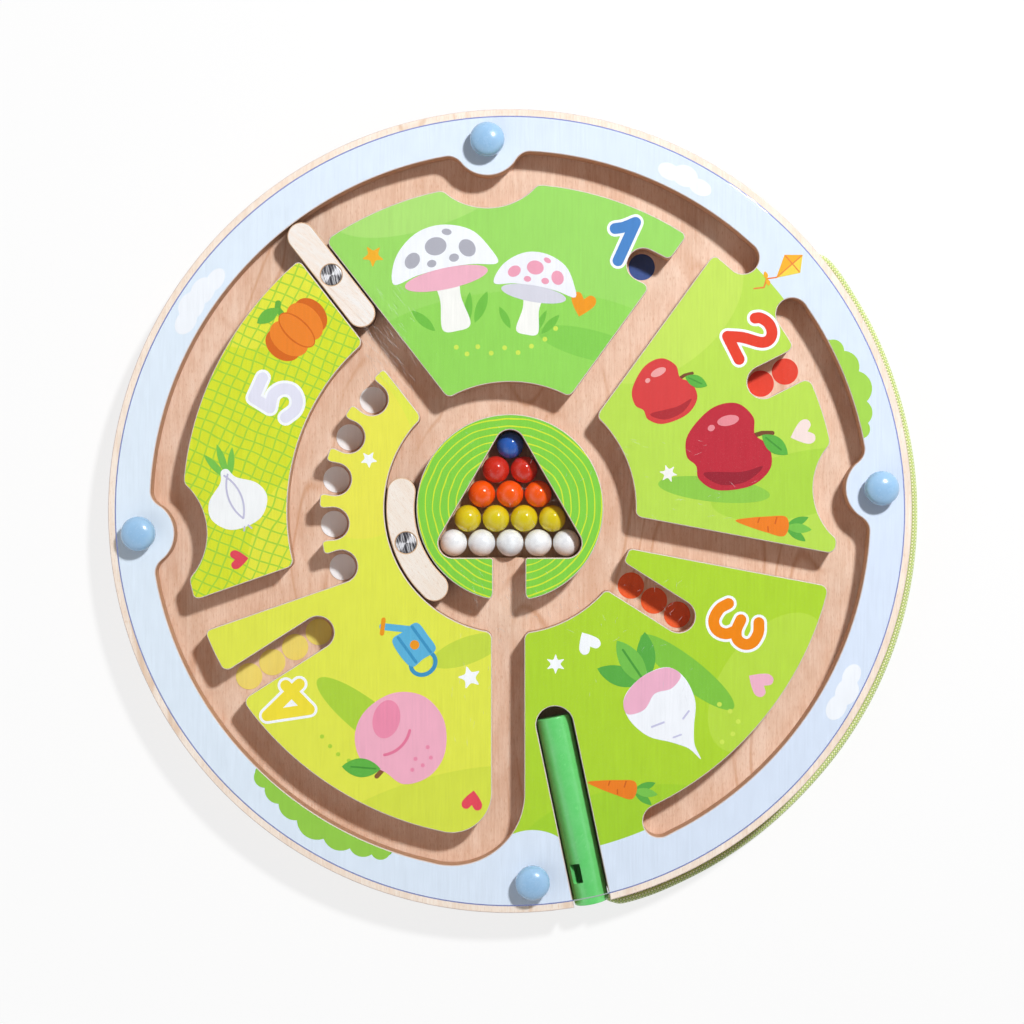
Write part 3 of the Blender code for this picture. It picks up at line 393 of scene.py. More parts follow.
def make_print(name, fields):
    """A printed face. The fields function gives its ink by its place."""
    tree = new_finish(name)
    vector = object_place(tree)
    laid = group("ink_on_birch", vector, Ink=fields(vector), Grain=0.13)
    dress(tree, {"Specular IOR Level": 0.2, "Base Color": laid["Colour"],
                 "Roughness": laid["Roughness"]}, laid["Height"], 0.25, 0.00006)


# Each field's ground, and the soft ovals on it: ink, place, reach across and up, turn and
# share, in millimetres and degrees
FIELDS = {
    "one": ("a0dd64", ("97da59", 0, 54, 62, 28, 4), ("b5e577", -30, 122, 40, 16, 20, 0.8),
            ("88d150", 30, 62, 20, 5.5, -14)),
    "two": ("bfe150", ("cae65c", 58, 74, 34, 20, 40), ("b2db44", 108, 10, 34, 12, 12),
            ("94ce48", 76, 8, 21, 4.6, -6)),
    "three": ("b4da30", ("aad62e", 44, -118, 40, 15, 10), ("bfe044", 96, -64, 17, 30, -36),
              ("84c840", 66, -60, 22, 5.4, -38)),
    "four": ("e9ec4e", ("dde648", -24, -116, 52, 18, 14), ("f1eb52", -62, 24, 26, 36, 24),
             ("b4d83c", -52, -78, 25, 6.5, -38), ("ccdf45", -16, -52, 14, 5, 20)),
    "five": ("dfe62c", ("ecea3e", -92, 80, 24, 18, 30), ("ecea3e", -88, -14, 9, 26, -14)),
}


def patch(vector, colour, ink, x, y, across, up, turn=0.0, share=1.0):
    """A soft-edged oval of another ink. Its place and size are in millimetres."""
    local = put(vector.tree, "ShaderNodeMapping", {
        "Vector": vector, "Location": (x * MM, y * MM, 0),
        "Rotation": (0, 0, math.radians(turn)), "Scale": (across * MM, up * MM, 9)},
        vector_type="TEXTURE")
    return mixed(local.from_axis().band(0.988, 1.004, share, 0.0), colour, ink)


def field(vector, name):
    colour, *patches = FIELDS[name]
    for row in patches:
        colour = patch(vector, colour, *row)
    return colour


def grid_field(vector):
    """The fifth field, with wobbly hand-drawn grid lines."""
    sway = put(vector.tree, "ShaderNodeTexNoise", {
        "Vector": vector, "Scale": 55.0, "Detail": 1.0}, "Color")
    sway = vectors("SCALE", vectors("SUBTRACT", sway, (0.5, 0.5, 0.5)), 0.0042, slot=3)
    moved = vectors("ADD", vector, sway)
    x, y, _ = placed(moved, (1 / GRID_CELL, 1 / GRID_CELL, 1), GRID_TURN).split()
    line = x.fold().calc("MINIMUM", y.fold()).band(0.055, 0.090, 0.85, 0.0)
    return mixed(line, field(vector, "five"), "a2d63f")


def hub_field(vector):
    """Green with thin, uneven yellow rings."""
    sway = (noise(vector, 42, 2) - 0.45) * 0.0040
    reach = placed(vector, shift=(0, -HUB_OFFSET, 0)).from_axis() + sway
    turns = (reach * (1 / HUB_RING_PITCH)).fold()
    ring = noise(vector, 90, 1) * 0.12 + 0.026 - turns
    return mixed(ring.band(-0.012, 0.012), "86d443", "d9ea35")


def within(distance, limit, blur=0.0001):
    """One inside the limit and none outside it, over a thin soft edge."""
    return distance.band(limit - blur, limit + blur, 1.0, 0.0)


def beyond(distance, limit, blur=0.0001):
    """One outside the limit and none inside it, over a thin soft edge."""
    return distance.band(limit - blur, limit + blur)


def frame_field(vector):
    """Sky on the ring and round the caps, two green sectors, and bare wood at the rim."""
    radius = vector.from_axis()
    x, y, _ = vector.split()
    angle = y.calc("ARCTAN2", x) * (180 / math.pi)
    green = mixed(beyond(angle, SECTOR_SPLIT, blur=0.05), field(vector, "three"),
                  field(vector, "two"))
    # Painted light: the sky is a little lighter towards the left and darker towards the right, to
    # even out the key light from the upper right.
    sky = mixed(x.band(-0.15, 0.15), "e9f3fd", "e1ebfb")
    folded = vectors("ABSOLUTE", placed(vector, turn=-CAP_START))
    near_x = placed(folded, shift=(-CAP_PITCH_RADIUS, 0, 0)).from_axis()
    near_y = placed(folded, shift=(0, -CAP_PITCH_RADIUS, 0)).from_axis()
    boss = within(near_x.calc("MINIMUM", near_y), SKY_REACH)
    ring = beyond(radius, SKY_RADIUS)
    colour = mixed(ring.calc("MAXIMUM", boss), green, sky)
    birch = group("birch_face", vector, Light="fdf0e3", Dark="f1dac6", Line="dcb592")
    return mixed(beyond(radius, PRINT_RADIUS, blur=0.00006), colour, birch["Colour"])


def shape_ink(vector):
    """Ink of the printed shapes. Its colour and cover are kept with the faces."""
    ink = put(vector.tree, "ShaderNodeAttribute", out=None, attribute_name="ink")
    return mixed(ink["Alpha"], group("birch_face", vector)["Colour"], ink["Color"])


def make_skinned(name, colour, worn, gloss, wear, coat, speck):
    """Moulded plastic or gloss paint."""
    tree = new_finish(name)
    vector = object_place(tree)
    skin = group("worn_skin", vector, Gloss=gloss, Wear=wear, Turn=0.6)
    share = noise(vector, 260, 3, 0.6).band(0.3, 0.7) * (speck * 2)
    ink = mixed(skin["Rubs"] * 0.10, mixed(share, colour, worn), "ffffff")
    dress(tree, {"Base Color": ink, "Roughness": skin["Roughness"], "Coat Weight": coat,
                 "Coat Roughness": 0.06}, skin["Height"], 0.12, 0.00005)


def make_turned_steel():
    """Slug ends by the piece's own map: coarse tool marks, and a painted highlight: a bow of
    light across them, painted into the colour.
    """
    tree = new_finish("turned_steel")
    spot = put(tree, "ShaderNodeUVMap", uv_map="slug_end")
    marks = noise(placed(spot, turn=-15), (7.5, 0.6, 1.0), 3, 0.65)
    across, up, _ = spot.split()
    # Painted highlight: a bow across the end, dark to near white in the colour, and less metallic
    # where it is bright.
    heading = up.calc("ARCTAN2", across) - 0.50
    bright = heading.calc("SINE").calc("ABSOLUTE").band(0.20, 0.80, 1.0, 0.0)
    light = (marks + bright * 0.17).band(0.44, 0.72)
    dress(tree, {"Base Color": mixed(light, "5a555b", "fdf9fa"),
                 "Metallic": light.band(0.0, 1.0, 1.0, 0.25),
                 "Roughness": marks.band(0.3, 0.7, 0.30, 0.46)}, marks, 0.3, 0.00005)


def make_steel():
    """Bright steel."""
    tree = new_finish("steel")
    vector = object_place(tree)
    skin = group("worn_skin", vector, Gloss=0.36, Wear=0.12)
    lines = noise(vector, (700, 5200, 700), 3, 0.6)
    dress(tree, {"Base Color": mixed(lines.band(0.3, 0.7), "bdb9b5", "d9d6d2"),
                 "Roughness": skin["Roughness"], "Metallic": 1.0},
          lines + skin["Height"], 0.25, 0.00006)


def make_magnet():
    tree = new_finish("ferrite")
    grains = noise(object_place(tree), 2600, 3, 0.6)
    dress(tree, {"Base Color": mixed(grains.band(0.35, 0.7), "2b2b2e", "4a4a4d"),
                 "Roughness": grains.band(0.3, 0.7, 0.45, 0.7), "Metallic": 0.4},
          grains, 0.4, 0.00008)


def make_acrylic(name, tint, clear, painted_tint_over_wand=None):
    """Clear sheet. Light that reaches the board below passes straight through it. Its rim has
    another tint
    where it crosses the wand: the rim's tints are painted, a blue line over the print and a pale
    grey one over the wand, for how the clear edge looks over each."""
    tree = new_finish(name)
    vector = object_place(tree)
    skin = group("worn_skin", vector, Gloss=0.015, Wear=0.02, Turn=0.75)
    if painted_tint_over_wand:
        tail = polar(COVER_RADIUS, WAND_DIRECTION)
        near = placed(vector, shift=(-tail.x, -tail.y, 0)).from_axis()
        tint = mixed(near.band(*RIM_OVER_WAND, 1.0, 0.0), tint, painted_tint_over_wand)
    dress(tree, {"Base Color": tint, "IOR": 1.49, "Transmission Weight": clear,
                 "Roughness": skin["Roughness"]}, skin["Height"], 0.02, 0.00002)
    path = put(tree, "ShaderNodeLightPath", out=None)
    passed = path["Is Shadow Ray"].calc("MAXIMUM", path["Is Diffuse Ray"])
    passed = passed.calc("MAXIMUM", path["Is Glossy Ray"])
    both = put(tree, "ShaderNodeMixShader", {
        0: passed, 1: Signal(tree, tree.nodes["Principled BSDF"].outputs[0]),
        2: put(tree, "ShaderNodeBsdfTransparent", {"Color": "fdfeff"})})
    wire(tree, tree.nodes["Material Output"], {"Surface": both})


def make_scuff():
    tree = new_finish("scuff")
    broken = noise(object_place(tree), 1500, 3, 0.7)
    dress(tree, {"Alpha": broken.band(0.32, 0.60, 0.10, 0.66),
                 "Roughness": broken.band(0.3, 0.7, 0.7, 0.5),
                 "Base Color": mixed(broken, "ffffff", "e8eef4")})


def make_cord_finish():
    """Plaited cord by the piece's own map: pale strands over darker ones, with painted shade in
    the valleys between them.
    """
    tree = new_finish("plaited_cord")
    spot = put(tree, "ShaderNodeUVMap", uv_map="braid")
    round_share, along, _ = spot.split()
    side, step = round_share * BRAID_STRANDS, along * (1 / BRAID_PITCH)
    first, second = side + step, side - step
    over = (first.calc("FLOOR") + second.calc("FLOOR")).fold(1.0).band(0.4, 0.6)
    yarn = noise(object_place(tree), 4200, 2, 0.6)
    colour = mixed(over, mixed(yarn, "fbffde", "eefab8"), mixed(yarn, "e4f3a0", "c3dc74"))
    # Painted shade: the valleys between the strands are darkened in the colour.
    valley_painted_shade = first.fold().calc("MINIMUM", second.fold()).band(0.0, 0.20, 0.85, 0.0)
    dress(tree, {"Base Color": mixed(valley_painted_shade, colour, "79994a"), "Sheen Weight": 0.25,
                 "Roughness": yarn.band(0.2, 0.8, 0.62, 0.85)}, yarn, 0.4, 0.00008)


def make_finishes():
    new_group("birch_face", {"Light": "ecc9b0", "Dark": "d3a688", "Line": "c08a62"},
              ("Colour", "Height"), birch_face)
    new_group("ply_edge", {"Light": "e6c3a4", "Dark": "b98b67", "Glue": "8a5f42"},
              ("Colour", "Height"), ply_edge)
    new_group("ink_on_birch", {"Ink": "ffffff", "Grain": 0.10},
              ("Colour", "Roughness", "Height"), ink_on_birch)
    new_group("worn_skin", {"Gloss": 0.2, "Wear": 0.1, "Turn": 0.0},
              ("Roughness", "Height", "Rubs"), worn_skin)
    make_wood("birch_floor", "f9dac2", "e3b798", "cd9062")
    make_wood("birch_back", "e8c7a4", "d2a67e", "b98457")
    make_wood("gate_birch", "fff3e6", "f9e5d2", "deba98", 0.42, turn=-38)
    # Painted light: the straight gate's birch is paler than the curved gate's, to make up for the
    # shade in its lane.
    make_wood("gate_birch_painted_paler", "fffaf5", "fdead9", "e9c9ac", 0.42, turn=-52)
    # name, light veneers, dark veneers and glue lines
    for row in (("ply_walls", "dcb18e", "b28059", "84583a"),
                ("pale_rim", "eedfd6", "decabf", "c5a696"),
                ("toasted_rim", "ecc8a4", "cf9c70", "a0704a"),
                ("rim_edge", "ecd0b0", "bf9268", "8a5f42"),
                ("scorched_edge", "7c5639", "3f2818", "2b1a10")):
        make_edge(*row)
    for name, fields in (("frame", frame_field), ("five", grid_field), ("hub", hub_field),
                         ("one", lambda vector: field(vector, "one")),
                         ("four", lambda vector: field(vector, "four"))):
        make_print(f"print_{name}", fields)
    make_print("printed_shapes", shape_ink)
    # name, colour, worn colour, gloss, wear, coat and speck
    for row in (
            ("cap_blue", "97c2e8", "9dc3e6", 0.22, 0.10, 0.4, 0.3),
            ("wand_green", "6bdb74", "7be084", 0.20, 0.08, 0.5, 0.3),
            ("paint_blue", "2b62b8", "2f62bd", 0.12, 0.06, 0.3, 0.2),
            ("paint_red", "d42a16", "dd3620", 0.12, 0.06, 0.3, 0.2),
            ("paint_orange", "fc5800", "ff6606", 0.12, 0.06, 0.3, 0.2),
            ("paint_yellow", "e0ca10", "e8d31c", 0.12, 0.06, 0.3, 0.2),
            ("paint_white", "ffffff", "dcdcde", 0.24, 0.12, 0.4, 0.3)):
        make_skinned(*row)
    make_steel()
    make_turned_steel()
    make_magnet()
    make_acrylic("clear_sheet", "fdfeff", 1.0)
    # Painted reflection: the sheet's side wall is near white and mostly opaque, for light
    # reflected inside its edge.
    make_acrylic("sheet_edge_painted_gleam", "f2fbff", 0.15)
    # Painted look: the rim is blue over the print and pale grey where it crosses the wand, for
    # how the clear edge looks there.
    make_acrylic("sheet_rim_painted_tint", "7d88c6", 0.10, painted_tint_over_wand="b4c8c0")
    make_scuff()
    make_cord_finish()


# ---- Camera, table and lights ----

def new_object(name, data):
    made = bpy.data.objects.new(name, data)
    bpy.context.scene.collection.objects.link(made)
    return made


def add_camera():
    """The photograph looks straight down, with the board's top towards its upper edge."""
    camera = bpy.data.cameras.new("camera")
    camera.lens = CAMERA_LENS
    camera.sensor_width = CAMERA_SENSOR
    made = new_object("camera", camera)
    made.location = CAMERA_PLACE
    bpy.context.scene.camera = made
    bpy.context.scene.view_settings.view_transform = "Standard"


def add_floor():
    """A pale table that stays white in view and keeps the board's shadow."""
    mesh = bpy.data.meshes.new("table_top")
    mesh.from_pydata([(x * TABLE_REACH, y * TABLE_REACH, -TABLE_GAP)
                      for x, y in ((-1, -1), (1, -1), (1, 1), (-1, 1))], [], [(0, 1, 2, 3)])
    made = new_object("table_top", mesh)
    finish = bpy.data.materials.new("table_white")
    finish.use_nodes = True
    tree = finish.node_tree
    tree.nodes.clear()
    path = put(tree, "ShaderNodeLightPath", out=None)
    seen = path["Is Camera Ray"].calc("MAXIMUM", path["Is Glossy Ray"])
    seen = seen.calc("MAXIMUM", path["Is Transmission Ray"])
    both = put(tree, "ShaderNodeMixShader", {
        0: seen * TABLE_GLOW, 1: put(tree, "ShaderNodeBsdfDiffuse", {"Color": "f6f6f6"}),
        2: put(tree, "ShaderNodeEmission", {"Color": "ffffff", "Strength": 1.0})})
    put(tree, "ShaderNodeOutputMaterial", {"Surface": both}, None)
    mesh.materials.append(finish)


def add_area_light(name, place, size, power):
    light = bpy.data.lights.new(name, "AREA")
    light.shape = "DISK"
    light.size = size
    light.energy = power
    made = new_object(name, light)
    made.location = place
    made.rotation_mode = "QUATERNION"
    made.rotation_quaternion = (-Vector(place)).to_track_quat("-Z", "Y")
    return made


def add_lights():
    """One hard light from the upper right, a weak soft one from the left, and a pale
    room that is darker overhead."""
    add_area_light("key_light", *KEY_LIGHT)
    add_area_light("fill_light", *FILL_LIGHT).visible_glossy = False
    world = bpy.data.worlds.new("pale_room")
    bpy.context.scene.world = world
    world.use_nodes = True
    tree = world.node_tree
    tree.nodes.clear()
    path = put(tree, "ShaderNodeLightPath", out=None)
    up = put(tree, "ShaderNodeTexCoord", out="Generated").split()[2]
    mirrored = path["Is Glossy Ray"].calc("MAXIMUM", path["Is Transmission Ray"])
    strength = put(tree, "ShaderNodeMix", {
        0: mirrored, 2: ROOM_LIGHT, 3: up.band(0.55, 0.90, 1.0, 0.10)})
    strength = put(tree, "ShaderNodeMix", {0: path["Is Camera Ray"], 2: strength, 3: 1.0})
    shown = put(tree, "ShaderNodeBackground", {"Color": "ffffff", "Strength": strength})
    put(tree, "ShaderNodeOutputWorld", {"Surface": shown}, None)


# ---- Meshes ----

def new_piece(name, mesh, body, replaced=()):
    """A finished piece on its body."""
    made = new_object(name, mesh)
    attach(made, body)
    if replaced:
        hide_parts(*replaced)
    return made


@contextmanager
def edited(mesh):
    """The mesh opened for edits, which are written back to it."""
    form = bmesh.new()
    form.from_mesh(mesh)
    yield form
    form.to_mesh(mesh)
    form.free()


def mesh_from(name, points, faces, materials, kinds=None, flat=(), angle=35.0):
    """A smooth-shaded mesh, with corners above the angle and the listed faces kept sharp."""
    mesh = bpy.data.meshes.new(name)
    mesh.from_pydata(points, [], faces)
    for finish in materials:
        mesh.materials.append(finishes[finish])
    if kinds:
        mesh.polygons.foreach_set("material_index", kinds)
    mesh.shade_smooth()
    mesh.set_sharp_from_angle(angle=math.radians(angle))
    for i in flat:
        mesh.polygons[i].use_smooth = False
    mesh.validate()
    mesh.update()
    return mesh


def mesh_of(thing, name):
    """The plain mesh that an object's modifiers make. The object is removed."""
    bpy.context.view_layer.update()
    ready = thing.evaluated_get(bpy.context.evaluated_depsgraph_get())
    mesh = bpy.data.meshes.new_from_object(ready)
    bpy.data.objects.remove(thing)
    mesh.name = name
    return mesh


def around(items):
    """Each item with the one after it, and the last with the first."""
    return zip(items, items[1:] + items[:1])


def plate_loops(node):
    """Outlines of a flat solid, from its top face, with the solid on the left."""
    form = bmesh.new()
    form.from_mesh(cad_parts[node].data)
    bmesh.ops.remove_doubles(form, verts=form.verts[:], dist=1e-6)
    bmesh.ops.dissolve_degenerate(form, edges=form.edges[:], dist=1e-7)
    form.normal_update()
    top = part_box(node)[1].z
    follower = {}
    for face in form.faces:
        if face.normal.z < 0.99 or abs(face.calc_center_median().z - top) > 1e-5:
            continue
        for corner in face.loops:
            others = [other for other in corner.edge.link_faces if other is not face]
            if not others or others[0].normal.z < 0.99:
                follower[corner.vert] = corner.link_loop_next.vert
    loops = []
    while follower:
        start, here = follower.popitem()
        loop = [start.co.xy.copy()]
        while here is not start:
            loop.append(here.co.xy.copy())
            here = follower.pop(here)
        loops.append(loop)
    form.free()
    return loops


def corner_curve(start, corner, end, steps):
    """Places on a curve from start to end that turns at the corner."""
    return [start * (1 - t) ** 2 + corner * 2 * t * (1 - t) + end * t * t
            for t in (k / steps for k in range(steps + 1))]


def eased(loop, radius):
    """The outline with its sharp outer corners rounded off."""
    corners = []
    for i, here in enumerate(loop):
        before, after = here - loop[i - 1], loop[(i + 1) % len(loop)] - here
        turn = before.angle_signed(after, 0.0)
        if -turn < CORNER_ANGLE:
            corners.append(here)
            continue
        cut = min(radius * math.tan(-turn / 2), before.length * 0.45, after.length * 0.45)
        corners += corner_curve(here - before.normalized() * cut, here,
                                here + after.normalized() * cut, 6)
    return corners


def smoothed(loop):
    """The outline with its facets turned back into curves. Real corners stay."""
    sides = [end - start for start, end in around(loop)]
    ways = []
    for before, after in zip(sides[-1:] + sides, sides):
        if before.angle(after) > CORNER_ANGLE:
            ways.append((before.normalized(), after.normalized()))
            continue
        if before.length > after.length * LONG_SIDE:
            way = before
        elif after.length > before.length * LONG_SIDE:
            way = after
        else:
            way = before.normalized() + after.normalized()
        ways.append((way.normalized(), way.normalized()))
    points = []
    for (start, end), ((_, way_out), (way_in, _)) in zip(around(loop), around(ways)):
        turn = way_out.angle(way_in)
        points.append(start)
        pieces = math.ceil(turn / CURVE_STEP)
        if pieces < 2:
            continue
        handle = (end - start).length * 2 / 3 * math.tan(turn / 4) / math.sin(turn / 2)
        for k in range(1, pieces):
            t = k / pieces
            points.append(start * (1 - t) ** 3 + (start + way_out * handle) * 3 * t * (1 - t) ** 2
                          + (end - way_in * handle) * 3 * t * t * (1 - t) + end * t ** 3)
    return points


def inset(loop, distance):
    """The outline moved in towards the solid on its left."""
    moved = []
    for i, here in enumerate(loop):
        before = (here - loop[i - 1]).normalized()
        after = (loop[(i + 1) % len(loop)] - here).normalized()
        left = Vector((-before.y - after.y, before.x + after.x))
        if left.length < 1e-6:
            left = Vector((-after.y, after.x))
        left.normalize()
        spread = max(0.5, left.dot(Vector((-after.y, after.x))))
        moved.append(here + left * distance / spread)
    return moved


def signed_area(loop):
    return sum(a.x * b.y - b.x * a.y for a, b in around(loop)) / 2


def fill(solids, holes=(), limits=()):
    """Points and triangles that cover the solids together, less the holes. Limits are
    outlines that the solids are cut off at: a solid lies on the left of each."""
    points, faces = [], []
    for shape in [*solids, *holes, *limits]:
        first = len(points)
        points.extend(shape if signed_area(shape) > 0 else shape[::-1])
        faces.append(list(range(first, len(points))))
    spots, _, triangles, _, _, owners = delaunay_2d_cdt(points, [], faces, 1, 1e-6)
    first_limit = len(solids) + len(holes)
    inner = {first_limit + i for i, shape in enumerate(limits) if signed_area(shape) > 0}
    barred = {*range(len(solids), first_limit + len(limits))} - inner
    kept = []
    for triangle, owner in zip(triangles, owners):
        under = set(owner)
        if min(under, default=len(solids)) >= len(solids) or under & barred:
            continue
        if inner and not under & inner:
            continue
        a, b, c = (spots[i] for i in triangle)
        ahead = (b - a).cross(c - a) > 0
        kept.append(tuple(triangle) if ahead else tuple(triangle[::-1]))
    return spots, kept


def plate(name, node, bevel, finish, body, hole_fit=0.0, round_off=0.0):
    """A flat piece from the solid's outline, with rounded edges. Its finishes are those of
    the sides, the top, the bottom and the upper edge. Holes are made tighter by hole_fit,
    and sharp outer corners are rounded by round_off."""
    low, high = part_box(node)[0].z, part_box(node)[1].z
    loops = [smoothed(loop) for loop in plate_loops(node)]
    if hole_fit:
        loops = [loop if signed_area(loop) > 0 else inset(loop, -hole_fit) for loop in loops]
    if round_off:
        loops = [eased(loop, round_off) for loop in loops]
    profile = []
    for k in range(ROUND_STEPS + 1):
        angle = math.pi / 2 * k / ROUND_STEPS
        profile.append((bevel * (1 - math.sin(angle)), low + bevel * (1 - math.cos(angle))))
    profile += [(back, low + high - height) for back, height in profile[::-1]]
    points, faces, kinds, flat = [], [], [], []
    for loop in loops:
        count, first = len(loop), len(points)
        for back, height in profile:
            points.extend(raised(p, height) for p in inset(loop, back))
        for ring in range(len(profile) - 1):
            for i in range(count):
                a = first + ring * count + i
                b = first + ring * count + (i + 1) % count
                faces.append((a, b, b + count, a + count))
                kinds.append(3 if ring > ROUND_STEPS else 0)
    for height, kind in ((low, 2), (high, 1)):
        rims = [[p / MM for p in inset(loop, bevel)] for loop in loops]
        spots, triangles = fill([rim for rim in rims if signed_area(rim) > 0],
                                [rim for rim in rims if signed_area(rim) <= 0])
        first = len(points)
        points.extend(raised(p * MM, height) for p in spots)
        for triangle in triangles:
            flat.append(len(faces))
            faces.append([first + i for i in (triangle if kind == 1 else triangle[::-1])])
            kinds.append(kind)
    mesh = mesh_from(name, points, faces, finish, kinds, flat)
    with edited(mesh) as form:
        bmesh.ops.remove_doubles(form, verts=form.verts[:], dist=2e-6)
    new_piece(name, mesh, body, [node])


def lathe(profile, segments):
    """Points and faces of a closed turned form about Z. The profile goes from its top end
    on the axis, out and down, and back to the axis."""
    points, faces, rings = [], [], []
    for across, up in profile:
        first = len(points)
        points += [raised(polar(across, 360 * i / segments), up)
                   for i in range(segments if across else 1)]
        rings.append(range(first, len(points)))
    for upper, lower in zip(rings, rings[1:]):
        for i in range(segments):
            k = (i + 1) % segments
            if len(upper) == 1:
                faces.append((upper[0], lower[i], lower[k]))
            elif len(lower) == 1:
                faces.append((upper[i], lower[0], upper[k]))
            else:
                faces.append((upper[i], lower[i], lower[k], upper[k]))
    return points, faces


def rounded_corner(inner, corner, outer, radius, steps=4):
    """Points of a small rounded corner in a profile."""
    inner, corner, outer = Vector(inner), Vector(corner), Vector(outer)
    return [tuple(point) for point in corner_curve(
        corner + (inner - corner).normalized() * radius, corner,
        corner + (outer - corner).normalized() * radius, steps)]


def rod_sides(radius, low, high):
    """Profile of a rod's side with small rounded edges, from its top end to its bottom."""
    return (rounded_corner((0, high), (radius, high), (radius, low), SMALL_ROUND)
            + rounded_corner((radius, high), (radius, low), (0, low), SMALL_ROUND)
            + [(0, low)])


# ---- Lines and shapes ----

def curve_between(before, start, end, after, steps):
    """Places on a smooth curve from start up to end."""
    places = []
    for k in range(steps):
        t = k / steps
        pull = (end - before) * t + (before * 2 - start * 5 + end * 4 - after) * t * t
        places.append(start + (pull + (start * 3 - before - end * 3 + after) * t ** 3) / 2)
    return places


def bent(places, steps=5):
    """An open smooth line through its places."""
    spots = [Vector(p) for p in places]
    spots = [spots[0] * 2 - spots[1]] + spots + [spots[-1] * 2 - spots[-2]]
    line = []
    for four in zip(spots, spots[1:], spots[2:], spots[3:]):
        line += curve_between(*four, steps)
    return line + [spots[-2]]


def blob(places, steps=7):
    """A closed smooth shape through its places. A place given twice is a corner."""
    spots = [Vector(p) for p in places]
    points = []
    for i in range(len(spots)):
        before, start, end, after = (spots[(i + k - 1) % len(spots)] for k in range(4))
        if start != end:
            points += curve_between(before, start, end, after, steps)
    return points


def even(half):
    """A closed smooth shape that is alike on both sides, from its right half."""
    return blob(half + [(-x, y) for x, y in half[::-1] if x])


def oval(x, y, across, up, turn=0, steps=36):
    lean = Matrix.Rotation(math.radians(turn), 2)
    return [lean @ Vector((across * math.cos(t), up * math.sin(t))) + Vector((x, y))
            for t in (2 * math.pi * i / steps for i in range(steps))]


def disc(x, y, radius, steps=36):
    return oval(x, y, radius, radius, 0, steps)


def bar(start, end, radius, steps=9):
    """A straight stroke with round ends."""
    start, end = Vector(start), Vector(end)
    way = math.degrees(math.atan2(end.y - start.y, end.x - start.x))
    return [centre + polar(radius, first + 180 * k / steps)
            for centre, first in ((end, way - 90), (start, way + 90)) for k in range(steps + 1)]


def stroke(radius, *lines):
    return [bar(a, b, radius) for places in lines for a, b in zip(places, places[1:])]


def bow(x, y, radius, start, end, steps=14):
    """Places along an arc, in degrees."""
    return [Vector((x, y)) + polar(radius, start + (end - start) * k / steps)
            for k in range(steps + 1)]


def leaf(start, end, width, steps=12):
    """A pointed leaf between two places."""
    start, end = Vector(start), Vector(end)
    along = end - start
    across = Vector((-along.y, along.x)).normalized() * width
    points = []
    for side in (1, -1):
        for k in range(steps):
            t = k / steps if side > 0 else 1 - k / steps
            points.append(start + along * t + across * side * math.sin(math.pi * t) ** 0.8)
    return points


# ---- Cord ----

def route_points(step):
    """Points of the cord's smooth curve, the same step apart."""
    fine = bent([raised(polar(radius, way), height) for radius, way, height in CORD_ROUTE], 40)
    total = sum((b - a).length for a, b in zip(fine, fine[1:]))
    target = total / round(total / step)
    points, walked = [fine[0]], 0.0
    for a, b in zip(fine, fine[1:]):
        length = (b - a).length
        while length and walked + length >= target * len(points) - 1e-12:
            points.append(a.lerp(b, (target * len(points) - walked) / length))
        walked += length
    return points, total


def strand_height(round_share, along):
    """Rise of the plait above its valleys, from 0 to 1."""
    first = round_share * BRAID_STRANDS + along / BRAID_PITCH
    second = round_share * BRAID_STRANDS - along / BRAID_PITCH
    a, b = abs(first % 1 * 2 - 1), abs(second % 1 * 2 - 1)
    over = (math.floor(first) + math.floor(second)) % 2
    across, lengthways = (a, b) if over else (b, a)
    return math.sqrt(1 - across * across * 0.96) * (1 - 0.45 * lengthways * lengthways)


def add_cord():
    """Plaited cord along its route, with closed ends."""
    path, total = route_points(CORD_STEP)
    last = len(path) - 1
    step = total / last
    points, faces, spots = [], [], []
    for i, place in enumerate(path):
        way = (path[min(i + 1, last)] - path[max(i - 1, 0)]).normalized()
        side = way.cross(Vector((0, 0, 1))).normalized()
        up = side.cross(way)
        taper = math.sqrt(min(1.0, CORD_END_SHARE
                              + min(i, last - i) * step / CORD_END_LENGTH))
        for k in range(CORD_SIDES):
            turn = 2 * math.pi * k / CORD_SIDES
            rise = strand_height(k / CORD_SIDES, i * step)
            reach = (CORD_RADIUS - BRAID_DEPTH * (1 - rise)) * taper
            points.append(place + (side * math.cos(turn) + up * math.sin(turn)) * reach)
    corners = [(k, (k + 1) % CORD_SIDES) for k in range(CORD_SIDES)]
    for i in range(last):
        near, far = i * CORD_SIDES, (i + 1) * CORD_SIDES
        for a, b in corners:
            faces.append((near + a, near + b, far + b, far + a))
            here, there = a / CORD_SIDES, (a + 1) / CORD_SIDES
            spots.append([(here, i * step), (there, i * step), (there, (i + 1) * step),
                          (here, (i + 1) * step)])
    for i in (0, last):
        middle, first = len(points), i * CORD_SIDES
        points.append(path[i])
        for a, b in corners:
            ends = (a, b) if i else (b, a)
            faces.append((first + ends[0], middle, first + ends[1]))
            spots.append([(0.5, i * step)] * 3)
    mesh = mesh_from("cord_plait", points, faces, ["plaited_cord"], angle=80)
    braid = mesh.uv_layers.new(name="braid")
    braid.data.foreach_set("uv", [value for face in spots for spot in face for value in spot])
    with edited(mesh) as form:
        bmesh.ops.recalc_face_normals(form, faces=form.faces[:])
    made = new_piece("cord_plait", mesh, "board", ["cord"])
    followed = path[::10] + ([path[-1]] if last % 10 else [])


